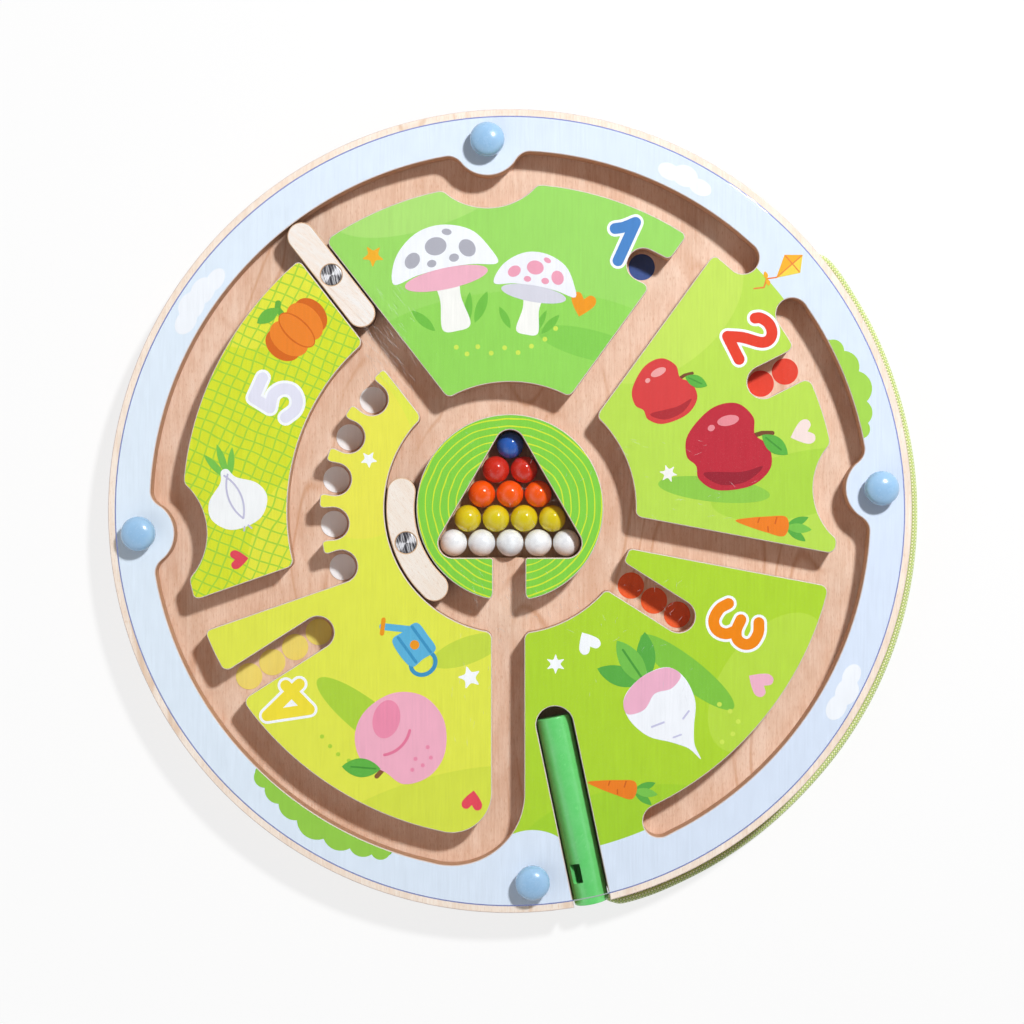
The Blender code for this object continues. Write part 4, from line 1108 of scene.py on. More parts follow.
def add_knots():
    """The cord's stopper knots, as wound balls of the same plait."""
    for node, body in (("board_knot", "board"), ("wand_knot", "wand")):
        low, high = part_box(node)
        centre, half = (low + high) / 2, (high - low) / 2
        mesh = bpy.data.meshes.new(f"{node}_wound")
        with edited(mesh) as form:
            bmesh.ops.create_uvsphere(form, u_segments=KNOT_SIDES, v_segments=KNOT_RINGS,
                                      radius=1)
            for point in form.verts:
                way = point.co.normalized()
                wind = abs(math.sin(5 * math.atan2(way.y, way.x) + 7 * way.z))
                wind = wind * KNOT_DEPTH - KNOT_DEPTH
                point.co = Vector([way[i] * half[i] * (1 + wind) for i in range(3)]) + centre
            braid = form.loops.layers.uv.new("braid")
            for face in form.faces:
                middle = face.calc_center_median() - centre
                for corner in face.loops:
                    place = corner.vert.co - centre
                    swing = place.xy.angle_signed(middle.xy) if place.xy.length > 1e-6 else 0
                    turn = math.atan2(middle.y, middle.x) + swing
                    corner[braid].uv = (turn / (2 * math.pi), place.z)
        mesh.materials.append(finishes["plaited_cord"])
        mesh.shade_smooth()
        new_piece(mesh.name, mesh, body, [node])


# ---- Prints ----

# The ink's thickness and its distance from a plate's edge, in metres
INK_STEP = 0.00002
PRINT_MARGIN = 0.00036
# Sizes of what is printed, in millimetres
DOT_RADIUS = 4.95
NUMBER_STROKE = 2.05
NUMBER_RIM = 1.0


class InkPrint:
    """Thin layers of ink on one surface, gathered into one mesh. They stop at the plate's
    edge, where a plate is given."""

    def __init__(self, surface, node=None):
        self.surface = surface
        self.limits = [[point / MM for point in inset(smoothed(loop), PRINT_MARGIN)]
                       for loop in (plate_loops(node) if node else ())]
        self.points, self.faces, self.inks = [], [], []
        self.at(0, 0)

    def at(self, x, y, turn=0.0, size=1.0):
        """Where the next shapes go: their middle, turn and size."""
        self.shift = Vector((x, y))
        self.turn = Matrix.Rotation(math.radians(turn), 2)
        self.size = size
        self.level = 0

    def lay(self, code, shapes, holes=(), cover=1.0):
        """One colour of ink, over what was laid at this place before it."""
        self.level += 1
        solids, cuts = ([[self.turn @ point * self.size + self.shift for point in shape]
                         for shape in gathered] for gathered in (shapes, holes))
        spots, triangles = fill(solids, cuts, self.limits)
        first, count = len(self.points), len(spots)
        for height in (self.surface + self.level * INK_STEP, self.surface - INK_STEP):
            self.points.extend(raised(p * MM, height) for p in spots)
        edges, added = {}, []
        for a, b, c in triangles:
            added.append((first + a, first + b, first + c))
            added.append((first + count + c, first + count + b, first + count + a))
            for edge in ((a, b), (b, c), (c, a)):
                edges[edge] = True
        for a, b in edges:
            if (b, a) not in edges:
                added.append((first + b, first + a, first + count + a, first + count + b))
        self.faces.extend(added)
        self.inks.extend([(*linear(code)[:3], cover)] * len(added))

    def piece(self, name, slot_name):
        mesh = mesh_from(name, self.points, self.faces, ["printed_shapes"], angle=20)
        ink = mesh.color_attributes.new("ink", "FLOAT_COLOR", "CORNER")
        ink.data.foreach_set("color", [value for face, colour in zip(mesh.polygons, self.inks)
                                       for value in colour * face.loop_total])
        with edited(mesh) as form:
            bmesh.ops.delete(form, geom=[v for v in form.verts if not v.link_faces],
                             context="VERTS")
        new_piece(name, mesh, "board")


# Each number's place, ink and strokes
NUMBERS = [
    (42.8, 100.5, "4a86c8", [bent([(-5.2, 2.9), (-2.4, 4.7), (0.9, 8.0)]),
                             [(0.9, 8.0), (0.5, -7.7)]]),
    (89.1, 64.1, "eb4027", [bent([(-5.0, 6.3), (-3.8, 8.0), (-0.6, 9.2), (2.7, 8.5),
                                  (4.6, 6.0), (3.6, 2.8), (-1.8, -1.6), (-5.5, -6.0)]),
                            [(-5.5, -6.0), (4.0, -7.5)]]),
    (84.3, -42.3, "f88a00", [bent([(-4.4, 7.2), (-0.9, 8.7), (3.2, 8.4), (5.2, 6.0),
                                   (4.7, 2.8), (1.9, 1.0), (-2.4, 0.7)]),
                             bent([(1.9, 1.0), (4.8, -1.9), (5.0, -5.7), (2.2, -8.3),
                                   (-2.4, -8.2), (-5.7, -6.1)])]),
    (-82.6, -70.2, "fbe53a", [[(0.5, 9.9), (1.7, -6.9)], [(0.5, 9.9), (-7.9, -3.6)],
                              [(-7.9, -3.6), (4.6, -2.7)]]),
    (-87.4, 42.1, "ebe8f5", [[(4.75, 7.5), (-3.45, 7.3), (-4.2, 0.2)],
                             bent([(-4.2, 0.2), (0.7, 1.2), (4.2, -0.9), (5.1, -4.6),
                                   (2.9, -7.7), (-0.8, -8.5), (-4.9, -6.6)])]),
]
# Each colour's ink, cover and places, for the discs that show where its balls go
FLOOR_DOTS = [
    ("1b4c94", 0.95, [(49.6, 91.8)]),
    ("e53419", 0.95, [(94.4, 47.95), (103.5, 52.5)]),
    ("f65a10", 0.93, [(45.5, -28.05), (54.2, -33.7), (62.9, -39.0)]),
    ("fae860", 0.80, [(-72.0, -45.5), (-80.9, -51.2), (-89.5, -56.9), (-98.2, -62.2)]),
    ("ffffff", 1.0, [polar(66.4, way) for way in (141.0, 155.3, 169.7, 184.2, 198.5)]),
]


def toadstool(ink, cap, spots, gills):
    ink.lay("74c244", [leaf((-7, -17), (-13, -9), 1.5), leaf((6, -17), (12, -8), 1.6),
                       leaf((3, -18), (6.5, -7), 1.3)])
    ink.lay("fdfaf2", [even([(3.6, 0), (3.4, -8), (4.6, -17), (0, -18.4)])])
    ink.lay(gills, [oval(0, -1.2, 13.6, 3.4)])
    ink.lay(cap, [blob([(-17, 0.4), (-14.6, 8.6), (-7, 14.8), (2, 16), (11, 12.4), (16, 5),
                        (17, 0.2), (9, 1.6), (0, 2.2), (-9, 1.6)])])
    ink.lay(spots, [oval(-9.5, 6.6, 2.8, 2.2, 40), oval(-1.2, 9.6, 3.5, 2.9),
                    oval(8.6, 7.0, 2.5, 3.0, 30), oval(-3.6, 4.4, 1.5, 1.2),
                    oval(3.8, 4.8, 1.6, 1.3), oval(3.2, 13.4, 1.6, 1.0, -20)])


def apple(ink, skin, blush, shine):
    ink.lay("7a4a2a", stroke(0.75, [(0, 9), (0.6, 12.4), (2.2, 15.4)]))
    ink.lay(skin, [even([(0, 10.2), (5.4, 12.4), (12, 9.6), (14.2, 1.4), (10.4, -9),
                         (4.4, -12.8), (0, -11.6)])])
    ink.lay(blush, [blob([(3.2, -10.4), (9.2, -7.4), (12.2, 0.6), (10.4, 7.6), (8.6, 0.4)])])
    ink.lay(shine, [oval(-8.2, 4.6, 1.7, 3.6, -16), oval(-8.6, -1.4, 1.0, 1.2)])
    ink.lay("5fb542", [leaf((1.2, 12.2), (10.8, 16.6), 2.7)])
    ink.lay("4a9a38", stroke(0.28, [(2.6, 12.9), (8.4, 15.4)]))


def radish(ink, skin, blush, root):
    ink.lay("5cb043", [leaf((-1, 11), (-11, 25), 3.6), leaf((1, 11), (10.5, 25.6), 3.4)])
    ink.lay("78c44c", [leaf((0, 10), (0.6, 29), 4.0)])
    ink.lay("4f9f3b", stroke(0.4, [(0, 12), (0.4, 25)]))
    ink.lay(skin, [even([(0, 13.2), (9.4, 10.8), (12.4, 4), (10.6, -5), (5, -12), (1.3, -17.4),
                         (0, -23)])])
    ink.lay(blush, [blob([(-11.9, 5.6), (-9.2, 10.8), (0, 13.2), (9.2, 10.8), (11.9, 5.6),
                          (6.5, 3.6), (0.4, 5.6), (-6, 3.2)])])
    ink.lay(root, stroke(0.35, [(-7.4, -3.4), (-3.0, -4.6)], [(3.4, -7.6), (6.6, -6.6)])
            + stroke(0.3, [(-3.4, -11), (-0.6, -11.8)]))


def peach(ink, skin, blush, crease):
    ink.lay("8a5a34", stroke(0.8, [(0.4, 12), (1.4, 16)]))
    ink.lay(skin, [even([(0, 13.4), (8, 14), (14.4, 7.4), (15.2, -2), (9.6, -11.6),
                         (0, -15.4)])])
    ink.lay(blush, [oval(7.6, -2.6, 4.6, 6.6, 14)]
            + [disc(x, y, 0.7) for x, y in ((-10.6, 5.4), (-8.2, 8.4), (-11.8, 1.8),
                                            (-7.4, 4.6), (-9.2, -0.8))])
    ink.lay(crease, stroke(0.5, bow(9.0, 0.0, 10.6, 128, 196)))
    ink.lay("63b844", [leaf((1.4, 13.2), (13.4, 18.6), 3.2)])
    ink.lay("4a9a38", stroke(0.28, [(3.0, 13.9), (10.6, 17.2)]))


def carrot(ink):
    ink.lay("5cb043", [leaf((0, 8), (-5.4, 17.6), 1.9), leaf((0, 8), (5.4, 17.6), 1.9)])
    ink.lay("7cc74d", [leaf((0, 8), (0, 19.6), 2.1)])
    ink.lay("f58220", [even([(0, 9.4), (4.4, 7.4), (3.6, 0), (1.8, -9), (0, -14.4)])])
    ink.lay("d9641a", stroke(0.32, [(-3.6, 3.6), (-0.8, 3.2)], [(1.0, 0.2), (3.0, 0.6)])
            + stroke(0.3, [(-2.4, -4.0), (-0.4, -4.4)]))


def pumpkin(ink, light, dark):
    ink.lay("69b23f", stroke(1.3, [(0.4, 8), (1.0, 12.4), (3.0, 13.8)]))
    ink.lay(dark, [oval(-8.6, 0, 6.4, 8.4, 6), oval(8.6, 0, 6.4, 8.4, -6)])
    ink.lay(light, [oval(-5.0, 0, 6.4, 9.4, 4), oval(5.0, 0, 6.4, 9.4, -4)])
    ink.lay(dark, [oval(0, 0, 4.9, 9.9)])
    ink.lay(light, [oval(0, 0, 4.2, 9.5)])
    ink.lay("6fbb45", [leaf((1.6, 12.0), (-9.6, 14.6), 2.8)])


def onion(ink, skin, line):
    ink.lay("7cc74d", [leaf((-0.6, 10), (-5.2, 22), 1.5), leaf((0.4, 10), (1.2, 24), 1.5),
                       leaf((0.8, 9), (6.6, 20.6), 1.4)])
    ink.lay(skin, [even([(1.4, 13), (3.4, 8.8), (10.4, 3.4), (12.2, -3.4), (7.4, -9.8),
                         (0, -11.4)])])
    ink.lay(line, stroke(0.38, bow(14, 1, 16.6, 143, 212), bow(-14, 1, 16.6, 37, -32))
            + stroke(0.35, [(-1.6, -12.6), (-0.8, -11.2)], [(1.6, -12.8), (0.8, -11.2)]))


def watering_can(ink, body, shade, trim):
    ink.lay(shade, [oval(-9.4, 1.2, 6.2, 7.0)], [oval(-9.4, 1.2, 4.2, 5.0)])
    ink.lay(body, stroke(1.6, [(6, -4), (15.4, 6.4)]))
    ink.lay(trim, stroke(1.0, [(13.0, 8.6), (17.8, 4.2)]))
    ink.lay(body, [even([(7, 7), (7.9, 0), (7.6, -7.4), (0, -8.2)])])
    ink.lay(shade, stroke(0.7, [(-7.0, 3.6), (7.0, 3.6)], [(-7.3, -4.6), (7.3, -4.6)]))
    ink.lay(trim, [disc(-0.2, -0.6, 2.2)])


def heart(ink, code):
    ink.lay(code, [even([(0, 1.9), (0, 1.9), (1.9, 3.9), (4.1, 3.4), (4.6, 1.1), (2.9, -1.7),
                         (0, -4.8), (0, -4.8)])])


def star(ink, code, points=5):
    ink.lay(code, [blob([polar((5.0, 2.6)[k % 2], 90 + 180 * k / points)
                         for k in range(points * 2)], 5)])


def pips(ink, code, places, radius):
    ink.lay(code, [disc(x, y, radius, 16) for x, y in places])


def kite(ink, first, second, tail):
    ink.lay(tail, stroke(0.34, [(0, -8), (-2.6, -12), (-0.4, -15.6), (-3.0, -19.4)]))
    left, right, top, bottom = (Vector(p) for p in ((-5.6, 1.6), (5.6, 1.6), (0, 8), (0, -8.4)))
    ink.lay(first, [[top, left, bottom, right]])
    ink.lay(second, [[top, bottom, right]])
    ink.lay(tail, stroke(0.26, [(0, 7.4), (0, -7.8)], [(-5.0, 1.6), (5.0, 1.6)]))
    ink.lay(first, [leaf((-2.4, -12), (-5.8, -10.4), 1.0), leaf((-2.4, -12), (0.6, -13.2), 1.0)])


def cloud(ink, *lumps):
    ink.lay("fbfcff", [oval(*lump) for lump in lumps])


def bush(ink, code, shade, *lumps):
    """Round lumps of two greens in a row along the ring."""
    ink.lay(shade, [disc(x, y - 1.6, radius, 28) for x, y, radius in lumps[::2]])
    ink.lay(code, [disc(x, y, radius * 0.9, 28) for x, y, radius in lumps])


# Each print's plate and slot, and its shapes: place, turn, size, and what is drawn there
GARDEN = {
    "one": ("island_one", "grass_print", [
        ((-24, 88, 12, 1.16), toadstool, "fbfbfd", "b4b2bb", "f6b6c6"),
        ((9, 82, -10, 0.90), toadstool, "f7f6fa", "f3a3b8", "dcd9e2"),
        ((27, 77, -16), heart, "f59b1c"),
        ((-51, 95, 34, 0.8), star, "f9b429"),
        ((-8, 60), pips, "d4ea57", [(-12, 1), (-8, -1.5), (-4, 1.2), (1, -1.2), (6, 0.8),
                                    (11, -1), (16, 1.4), (21, 4), (25, 8)], 0.9)]),
    "two": ("frame_plate", "lime_print", [
        ((81, 23, -62, 1.14), apple, "c42a3a", "9e1f30", "ee8f96"),
        ((57, 44, -48, 0.84), apple, "dd4140", "b52c33", "f4a6a2"),
        ((96, -5, -97, 0.84), carrot),
        ((109, 29, -70), heart, "fbe3da"),
        ((59, 14, 20, 0.66), star, "fdf8f2", 6)]),
    "three": ("frame_plate", "lime_print", [
        ((57, -73, 36, 1.04), radish, "fcfcff", "f5b5cb", "cfcbe6"),
        ((40, -103, -100, 0.78), carrot),
        ((29, -49, -150, 0.9), heart, "ffffff"),
        ((93, -64, -124), heart, "f7b8cb"),
        ((17, -57, 180, 0.72), star, "ffffff", 6),
        ((82, -78), pips, "d4ea57", [(-4, 6), (0, 3.4), (3, -0.4), (1, -5), (-3, -8)], 0.9)]),
    "four": ("island_four", "lime_print", [
        ((-40, -84, 152, 1.10), peach, "fab3c6", "f691ae", "ee7d9d"),
        ((-36, -50, 126, 0.80), watering_can, "5fb6dc", "3f97c4", "f59b1c"),
        ((-14, -108, 172, 0.82), heart, "ee4b5c"),
        ((-15, -62, 160, 0.85), star, "ffffff"),
        ((-66, -86), pips, "b4d83c", [(-4, 2), (-1, -1.6), (2, -4.6), (6, -7), (10, -10)], 0.8),
        ((-52.6, 19.2, 40, 0.62), star, "ffffff")]),
    "five": ("island_five", "lime_print", [
        ((-79.4, 67.4, 47, 0.86), pumpkin, "f5872a", "dd6a1c"),
        ((-102, 4, 22, 0.92), onion, "fdfcfa", "c9c4dc"),
        ((-101, -18, 96, 0.76), heart, "e8495a")]),
    "ring": ("frame_plate", "sky_print", [
        ((*polar(139.5, 146), 56), cloud, (-9, 0, 5.2, 3.6), (-3, 1.6, 5.6, 4.6),
         (4, 1.2, 5.4, 4.2), (10, -0.4, 4.8, 3.0)),
        ((*polar(141.0, -29), -119), cloud, (-8, 0, 4.6, 3.2), (-2, 1.4, 5.2, 4.2),
         (5, 0.8, 5.0, 3.6)),
        ((*polar(139.5, 62), -28), cloud, (-7, 0, 4.4, 3.0), (-1, 1.3, 5.0, 3.9),
         (6, 0.2, 4.4, 2.9)),
        ((*polar(133.5, 238), 148), bush, "9bd14a", "7fc03c", (-26, -1, 4.2), (-19, 0, 6.2),
         (-10, 1.4, 7.6), (0, 2.0, 8.4), (10, 1.0, 7.2), (18, 0, 6.0), (25, -1, 4.4)),
        ((*polar(134.5, 20), -70), bush, "a9d84e", "8aca41", (-15, -1, 4.6), (-8, 0.6, 6.6),
         (1, 1.6, 7.4), (10, 0, 5.8), (16, -1.4, 4.0)),
        ((*polar(138.5, 41.2), -49, 0.80), kite, "f9b429", "f7d84a", "ef7f3a")]),
}


def add_prints():
    """Numbers, garden shapes and the discs on the floor that show where each ball goes."""
    numbers = InkPrint(MAZE_TOP)
    for x, y, code, lines in NUMBERS:
        numbers.at(x, y, math.degrees(math.atan2(y, x)) - 90)
        numbers.lay("ffffff", stroke(NUMBER_STROKE + NUMBER_RIM, *lines))
        numbers.lay(code, stroke(NUMBER_STROKE, *lines))
    numbers.piece("print_numbers", "grass_print")
    dots = InkPrint(FLOOR_TOP)
    for code, cover, places in FLOOR_DOTS:
        for x, y in places:
            dots.lay(code, [disc(x, y, DOT_RADIUS, 60)], cover=cover)
    dots.piece("print_floor_dots", "birch_plywood")
    for name, (node, slot_name, shapes) in GARDEN.items():
        ink = InkPrint(MAZE_TOP, node)
        for place, shape, *values in shapes:
            ink.at(*place)
            shape(ink, *values)
        ink.piece(f"print_shapes_{name}", slot_name)


# ---- Pieces ----

def add_board():
    """The plywood layers, the gates and the clear cover."""
    for node, bevel, face in (("back_board", BACK_ROUND, "birch_back"),
                              ("floor_board", FLOOR_ROUND, "birch_floor")):
        plate(f"{node}_ply", node, bevel, ("rim_edge", face, face, "rim_edge"), "board")
    for piece, node, finish, slot_name, round_off in (
            ("frame_ply", "frame_plate", "print_frame", "sky_print", 0.0),
            ("island_one_ply", "island_one", "print_one", "grass_print", 0.0),
            ("island_four_ply", "island_four", "print_four", "lime_print", 0.0),
            ("island_five_ply", "island_five", "print_five", "lime_print", 0.0),
            ("centre_island_ply", "centre_island", "print_hub", "hub_print", EXIT_ROUND_OFF)):
        plate(piece, node, MAZE_ROUND, ("ply_walls", finish, "birch_floor", "pale_rim"),
              "board", round_off=round_off)
    # The straight gate's birch is painted paler, against the shade in its lane.
    for gate, wood in (("straight_gate", "gate_birch_painted_paler"), ("curved_gate", "gate_birch")):
        plate(f"{gate}_ply", gate, GATE_ROUND, ("scorched_edge", wood, wood, "toasted_rim"),
              gate, GATE_HOLE_FIT)
    # The cover's side wall carries a painted reflection, and its rim carries painted tints.
    plate("cover_sheet", "cover", COVER_ROUND,
          ("sheet_edge_painted_gleam", "clear_sheet", "clear_sheet", "sheet_rim_painted_tint"), "board")


SOCKET_KINDS = {int: "Int", float: "Float", tuple: "Vector", type(None): "Material"}


def shape_tree(name, inputs):
    """A tree of shapes: the tree, its inputs and their identifiers. The inputs are named
    with their defaults, or with None for a material."""
    tree = bpy.data.node_groups.new(name, "GeometryNodeTree")
    for way in ("INPUT", "OUTPUT"):
        tree.interface.new_socket("Geometry", in_out=way, socket_type="NodeSocketGeometry")
    keys = {}
    for key, value in inputs.items():
        socket = tree.interface.new_socket(
            key, in_out="INPUT", socket_type=f"NodeSocket{SOCKET_KINDS[type(value)]}")
        if value is not None:
            socket.default_value = value
        keys[key] = socket.identifier
    return tree, signals(tree, tree.nodes.new("NodeGroupInput")), keys


def end_tree(tree, geometry, material):
    """Ends a shape tree in real geometry with its material."""
    whole = put(tree, "GeometryNodeRealizeInstances", {0: geometry})
    coated = put(tree, "GeometryNodeSetMaterial", {"Geometry": whole, "Material": material})
    wire(tree, tree.nodes.new("NodeGroupOutput"), {0: coated})


def baked(name, source, tree, keys, values):
    """The plain mesh that a shape tree makes of a source mesh."""
    carrier = new_object(name, source)
    modifier = carrier.modifiers.new("Shape", "NODES")
    modifier.node_group = tree
    for key, value in values.items():
        modifier[keys[key]] = value
    return mesh_of(carrier, name)


def add_caps():
    """One moulded cap, repeated over the four screws by a shape tree."""
    low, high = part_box("screw_cap_1")
    radius = (high.x - low.x) / 2
    height = high.z - low.z
    profile = [(0, height)]
    for k in range(1, CAP_DOME_STEPS + 1):
        angle = math.radians(90 * k / CAP_DOME_STEPS)
        profile.append((radius * math.sin(angle) ** CAP_DOME,
                        CAP_BRIM + (height - CAP_BRIM) * math.cos(angle)))
    profile += [(radius, CAP_LIP), (radius - CAP_LIP, 0), (radius - CAP_WALL, 0),
                (radius - CAP_WALL, CAP_HOLLOW[0]), (0, CAP_HOLLOW[1])]
    source = mesh_from("cap_form", *lathe(profile, CAP_SIDES), ["cap_blue"], angle=60)

    tree, entry, keys = shape_tree("over_the_screws", {
        "Count": CAP_COUNT, "Pitch Radius": CAP_PITCH_RADIUS, "Start": 0.0, "Height": 0.0,
        "Material": None})
    ring = put(tree, "GeometryNodeMeshCircle", {
        "Vertices": entry["Count"], "Radius": entry["Pitch Radius"]})
    ring = put(tree, "GeometryNodeTransform", {
        "Geometry": ring, "Rotation": put(tree, "ShaderNodeCombineXYZ", {2: entry["Start"]}),
        "Translation": put(tree, "ShaderNodeCombineXYZ", {2: entry["Height"]})})
    caps = put(tree, "GeometryNodeInstanceOnPoints", {
        "Points": ring, "Instance": entry["Geometry"]})
    end_tree(tree, caps, entry["Material"])
    mesh = baked("screw_caps", source, tree, keys, {
        "Count": CAP_COUNT, "Pitch Radius": CAP_PITCH_RADIUS,
        "Start": math.radians(CAP_START), "Height": low.z, "Material": finishes["cap_blue"]})
    new_piece("screw_caps", mesh, "board",
              [f"screw_cap_{i + 1}" for i in range(CAP_COUNT)])


SCUFF_WIDTH = 0.00007
SCUFF_RISE = 0.000006
FIRST_SEED = 3
# Each patch's middle, spread, direction, sway, count and longest scratch
SCUFFS = [
    ((-0.045, 0.064), (0.010, 0.019), -54, 12, 70, 0.0080),
    ((0.004, -0.033), (0.022, 0.012), -50, 30, 46, 0.0042),
    ((0.048, -0.050), (0.020, 0.024), 70, 60, 34, 0.0036),
    ((0.012, 0.012), (0.030, 0.028), -40, 80, 40, 0.0030),
    ((-0.015, -0.060), (0.012, 0.030), 88, 20, 22, 0.0040),
    ((0.066, 0.012), (0.026, 0.016), -12, 40, 26, 0.0046),
]


def scuff_tree():
    """Scratches strewn about a middle, each turned and sized by chance."""
    tree, entry, keys = shape_tree("cover_scuffs", {
        "Count": 10, "Middle": (0.0, 0.0, 0.0), "Spread": (0.0, 0.0, 0.0), "Direction": 0.0,
        "Sway": 0.0, "Length": 0.004, "Width": 0.00012, "Seed": 1, "Material": None})
    spread, sway, seed = entry["Spread"], entry["Sway"], entry["Seed"]
    place = put(tree, "FunctionNodeRandomValue", {
        0: vectors("SCALE", spread, -1.0, slot=3), 1: spread, "Seed": seed},
        data_type="FLOAT_VECTOR")
    marks = put(tree, "GeometryNodePoints", {
        "Count": entry["Count"], "Position": vectors("ADD", place, entry["Middle"])})
    turn = put(tree, "FunctionNodeRandomValue", {
        2: sway * -1.0, 3: sway, "Seed": seed + 7.0}, 1, data_type="FLOAT")
    share = put(tree, "FunctionNodeRandomValue", {
        2: 0.25, 3: 1.0, "Seed": seed + 13.0}, 1, data_type="FLOAT")
    lines = put(tree, "GeometryNodeInstanceOnPoints", {
        "Points": marks, "Instance": entry["Geometry"],
        "Rotation": put(tree, "ShaderNodeCombineXYZ", {2: turn + entry["Direction"]}),
        "Scale": put(tree, "ShaderNodeCombineXYZ", {
            0: share * entry["Length"], 1: entry["Width"], 2: SCUFF_RISE})})
    end_tree(tree, lines, entry["Material"])
    return tree, keys


def add_scuffs():
    """Hairline scratches that the wand has left on the cover, by a shape tree."""
    tree, keys = scuff_tree()
    outline = ((-0.5, 0), (-0.2, -0.42), (0.2, -0.42), (0.5, 0), (0.2, 0.42), (-0.2, 0.42))
    sliver = [(x, y, side) for side in (-1, 1) for x, y in outline]
    faces = [(5, 4, 3, 2, 1, 0), (6, 7, 8, 9, 10, 11)]
    faces += [(i, (i + 1) % 6, (i + 1) % 6 + 6, i + 6) for i in range(6)]
    mesh = bpy.data.meshes.new("cover_scuffs")
    with edited(mesh) as gathered:
        for index, (middle, spread, way, sway, count, reach) in enumerate(SCUFFS):
            source = mesh_from(f"scuff_form_{index}", sliver, faces, ["scuff"], angle=20)
            gathered.from_mesh(baked(f"scuffs_{index}", source, tree, keys, {
                "Count": count, "Middle": (*middle, COVER_TOP), "Spread": (*spread, 0.0),
                "Direction": math.radians(way), "Sway": math.radians(sway), "Length": reach,
                "Width": SCUFF_WIDTH, "Seed": index + FIRST_SEED,
                "Material": finishes["scuff"]}))
    mesh.materials.append(finishes["scuff"])
    new_piece("cover_scuffs", mesh, "board")


def add_balls():
    """Fifteen painted steel balls, each on its own body."""
    for name in sorted(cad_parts):
        if "_ball_" not in name:
            continue
        low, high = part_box(name)
        colour = name.split("_")[0]
        mesh = bpy.data.meshes.new(f"{name}_painted")
        with edited(mesh) as form:
            bmesh.ops.create_cube(form, size=2)
            bmesh.ops.subdivide_edges(form, edges=form.edges[:], cuts=BALL_CUTS,
                                      use_grid_fill=True)
            for point in form.verts:
                way = Vector([math.tan(value * math.pi / 4) for value in point.co])
                point.co = way.normalized() * ((high.z - low.z) / 2) + (low + high) / 2
        mesh.materials.append(finishes[f"paint_{colour}"])
        mesh.shade_smooth()
        new_piece(mesh.name, mesh, name, [name])


def add_slugs():
    """Steel slugs with turned ends, let into the gates."""
    for gate in ("straight_gate", "curved_gate"):
        node = f"{gate}_slug"
        low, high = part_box(node)
        centre = (low + high) / 2
        radius = (high.x - low.x) / 2
        half = (high.z - low.z) / 2
        profile = [(0, half)]
        for k in range(1, int((radius - SLUG_RIM) / SLUG_GROOVE) * 4):
            dip = SLUG_GROOVE_DEPTH * (1 - math.cos(math.pi * k / 2))
            profile.append((SLUG_GROOVE * k / 4, half - dip))
        points, faces = lathe(profile + rod_sides(radius, -half, half), SLUG_SIDES)
        mesh = mesh_from(f"{node}_turned", [point + centre for point in points], faces,
                         ["turned_steel"], angle=40)
        ends = mesh.uv_layers.new(name="slug_end")
        for corner in mesh.loops:
            reach = (mesh.vertices[corner.vertex_index].co - centre) / radius
            ends.data[corner.index].uv = reach.xy
        new_piece(mesh.name, mesh, gate, [node])


def wand_matrix():
    """Frame of the wand at its tail, with +Z along it to the tip."""
    tail = raised(polar(WAND_TAIL_RADIUS, WAND_DIRECTION), WAND_AXIS_HEIGHT)
    lay_flat = Matrix.Rotation(math.radians(90), 4, "Y")
    face_in = Matrix.Rotation(math.radians(WAND_DIRECTION + 180), 4, "Z")
    return Matrix.Translation(tail) @ face_in @ lay_flat


def window_form():
    """The form that is cut out of the wand."""
    mesh = bpy.data.meshes.new("window_form")
    with edited(mesh) as form:
        bmesh.ops.create_cube(form, size=1)
        for point in form.verts:
            point.co = Vector([point.co[i] * WINDOW_SIZE[i] for i in range(3)])
        long_edges = [edge for edge in form.edges
                      if abs(edge.verts[0].co.x - edge.verts[1].co.x) > 0.001]
        bmesh.ops.bevel(form, geom=long_edges, offset=WINDOW_ROUND, segments=3, profile=0.5,
                        affect="EDGES")
        turn = Matrix.Rotation(math.radians(WINDOW_TURN), 4, "Z")
        bmesh.ops.transform(form, matrix=Matrix.Translation((0, 0, WINDOW_DISTANCE)) @ turn,
                            verts=form.verts[:])
    return mesh


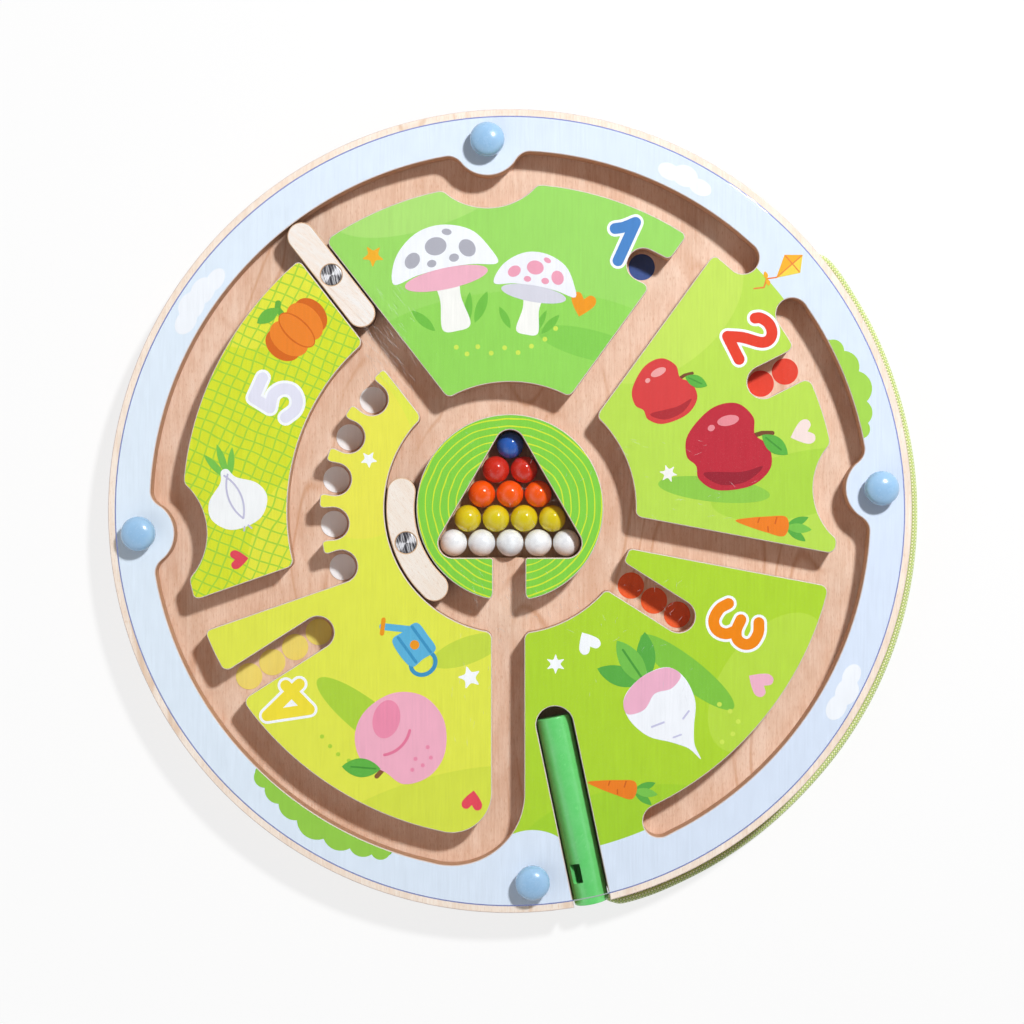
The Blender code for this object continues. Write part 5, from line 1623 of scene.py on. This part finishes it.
def add_wand():
    """Moulded wand with its window, plug and magnet."""
    length, radius, bore = WAND_LENGTH, WAND_RADIUS, WAND_BORE_RADIUS
    bore_end = length - WAND_TIP_WALL
    profile = [(0, length)]
    profile += rounded_corner((0, length), (radius, length), (radius, 0), WAND_TIP_ROUND, 6)
    profile += rounded_corner((radius, length), (radius, 0), (0, 0), SMALL_ROUND)
    profile += [(bore + BORE_CHAMFER, 0), (bore, BORE_CHAMFER), (bore, bore_end),
                (0, bore_end)]
    body = new_object("wand_form", mesh_from("wand_form", *lathe(profile, WAND_SIDES),
                                             ["wand_green"], angle=40))
    cutter = new_object("window_form", window_form())
    cut = body.modifiers.new("Window", "BOOLEAN")
    cut.operation = "DIFFERENCE"
    cut.solver = "EXACT"
    cut.object = cutter
    soften = body.modifiers.new("Soften", "BEVEL")
    soften.width = WINDOW_LIP
    soften.segments = 2
    soften.limit_method = "ANGLE"
    soften.angle_limit = CORNER_ANGLE
    mesh = mesh_of(body, "wand_moulded")
    bpy.data.objects.remove(cutter)
    mesh.transform(wand_matrix())
    new_piece("wand_moulded", mesh, "wand", ["wand_body"])
    magnet_end = bore_end - ROD_FIT
    for node, name, finish, slot_name, low, high in (
            ("wand_magnet", "wand_magnet_rod", "ferrite", "magnet",
             magnet_end - MAGNET_LENGTH, magnet_end),
            ("wand_plug", "wand_tail_plug", "wand_green", "wand_plastic", 0.0, PLUG_LENGTH)):
        profile = [(0, high)] + rod_sides(bore - ROD_FIT, low, high)
        rod = mesh_from(name, *lathe(profile, ROD_SIDES), [finish], angle=40)
        rod.transform(wand_matrix())
        new_piece(name, rod, "wand", [node])


def dress_screws():
    """The cover screws stay as they are, in bright steel."""
    for i in range(CAP_COUNT):
        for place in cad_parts[f"cover_screw_{i + 1}"].material_slots:
            place.material = finishes["steel"]


add_camera()
make_finishes()
add_cord()
add_floor()
add_lights()
add_knots()
add_board()
add_prints()
add_caps()
add_scuffs()
add_balls()
add_slugs()
add_wand()
dress_screws()
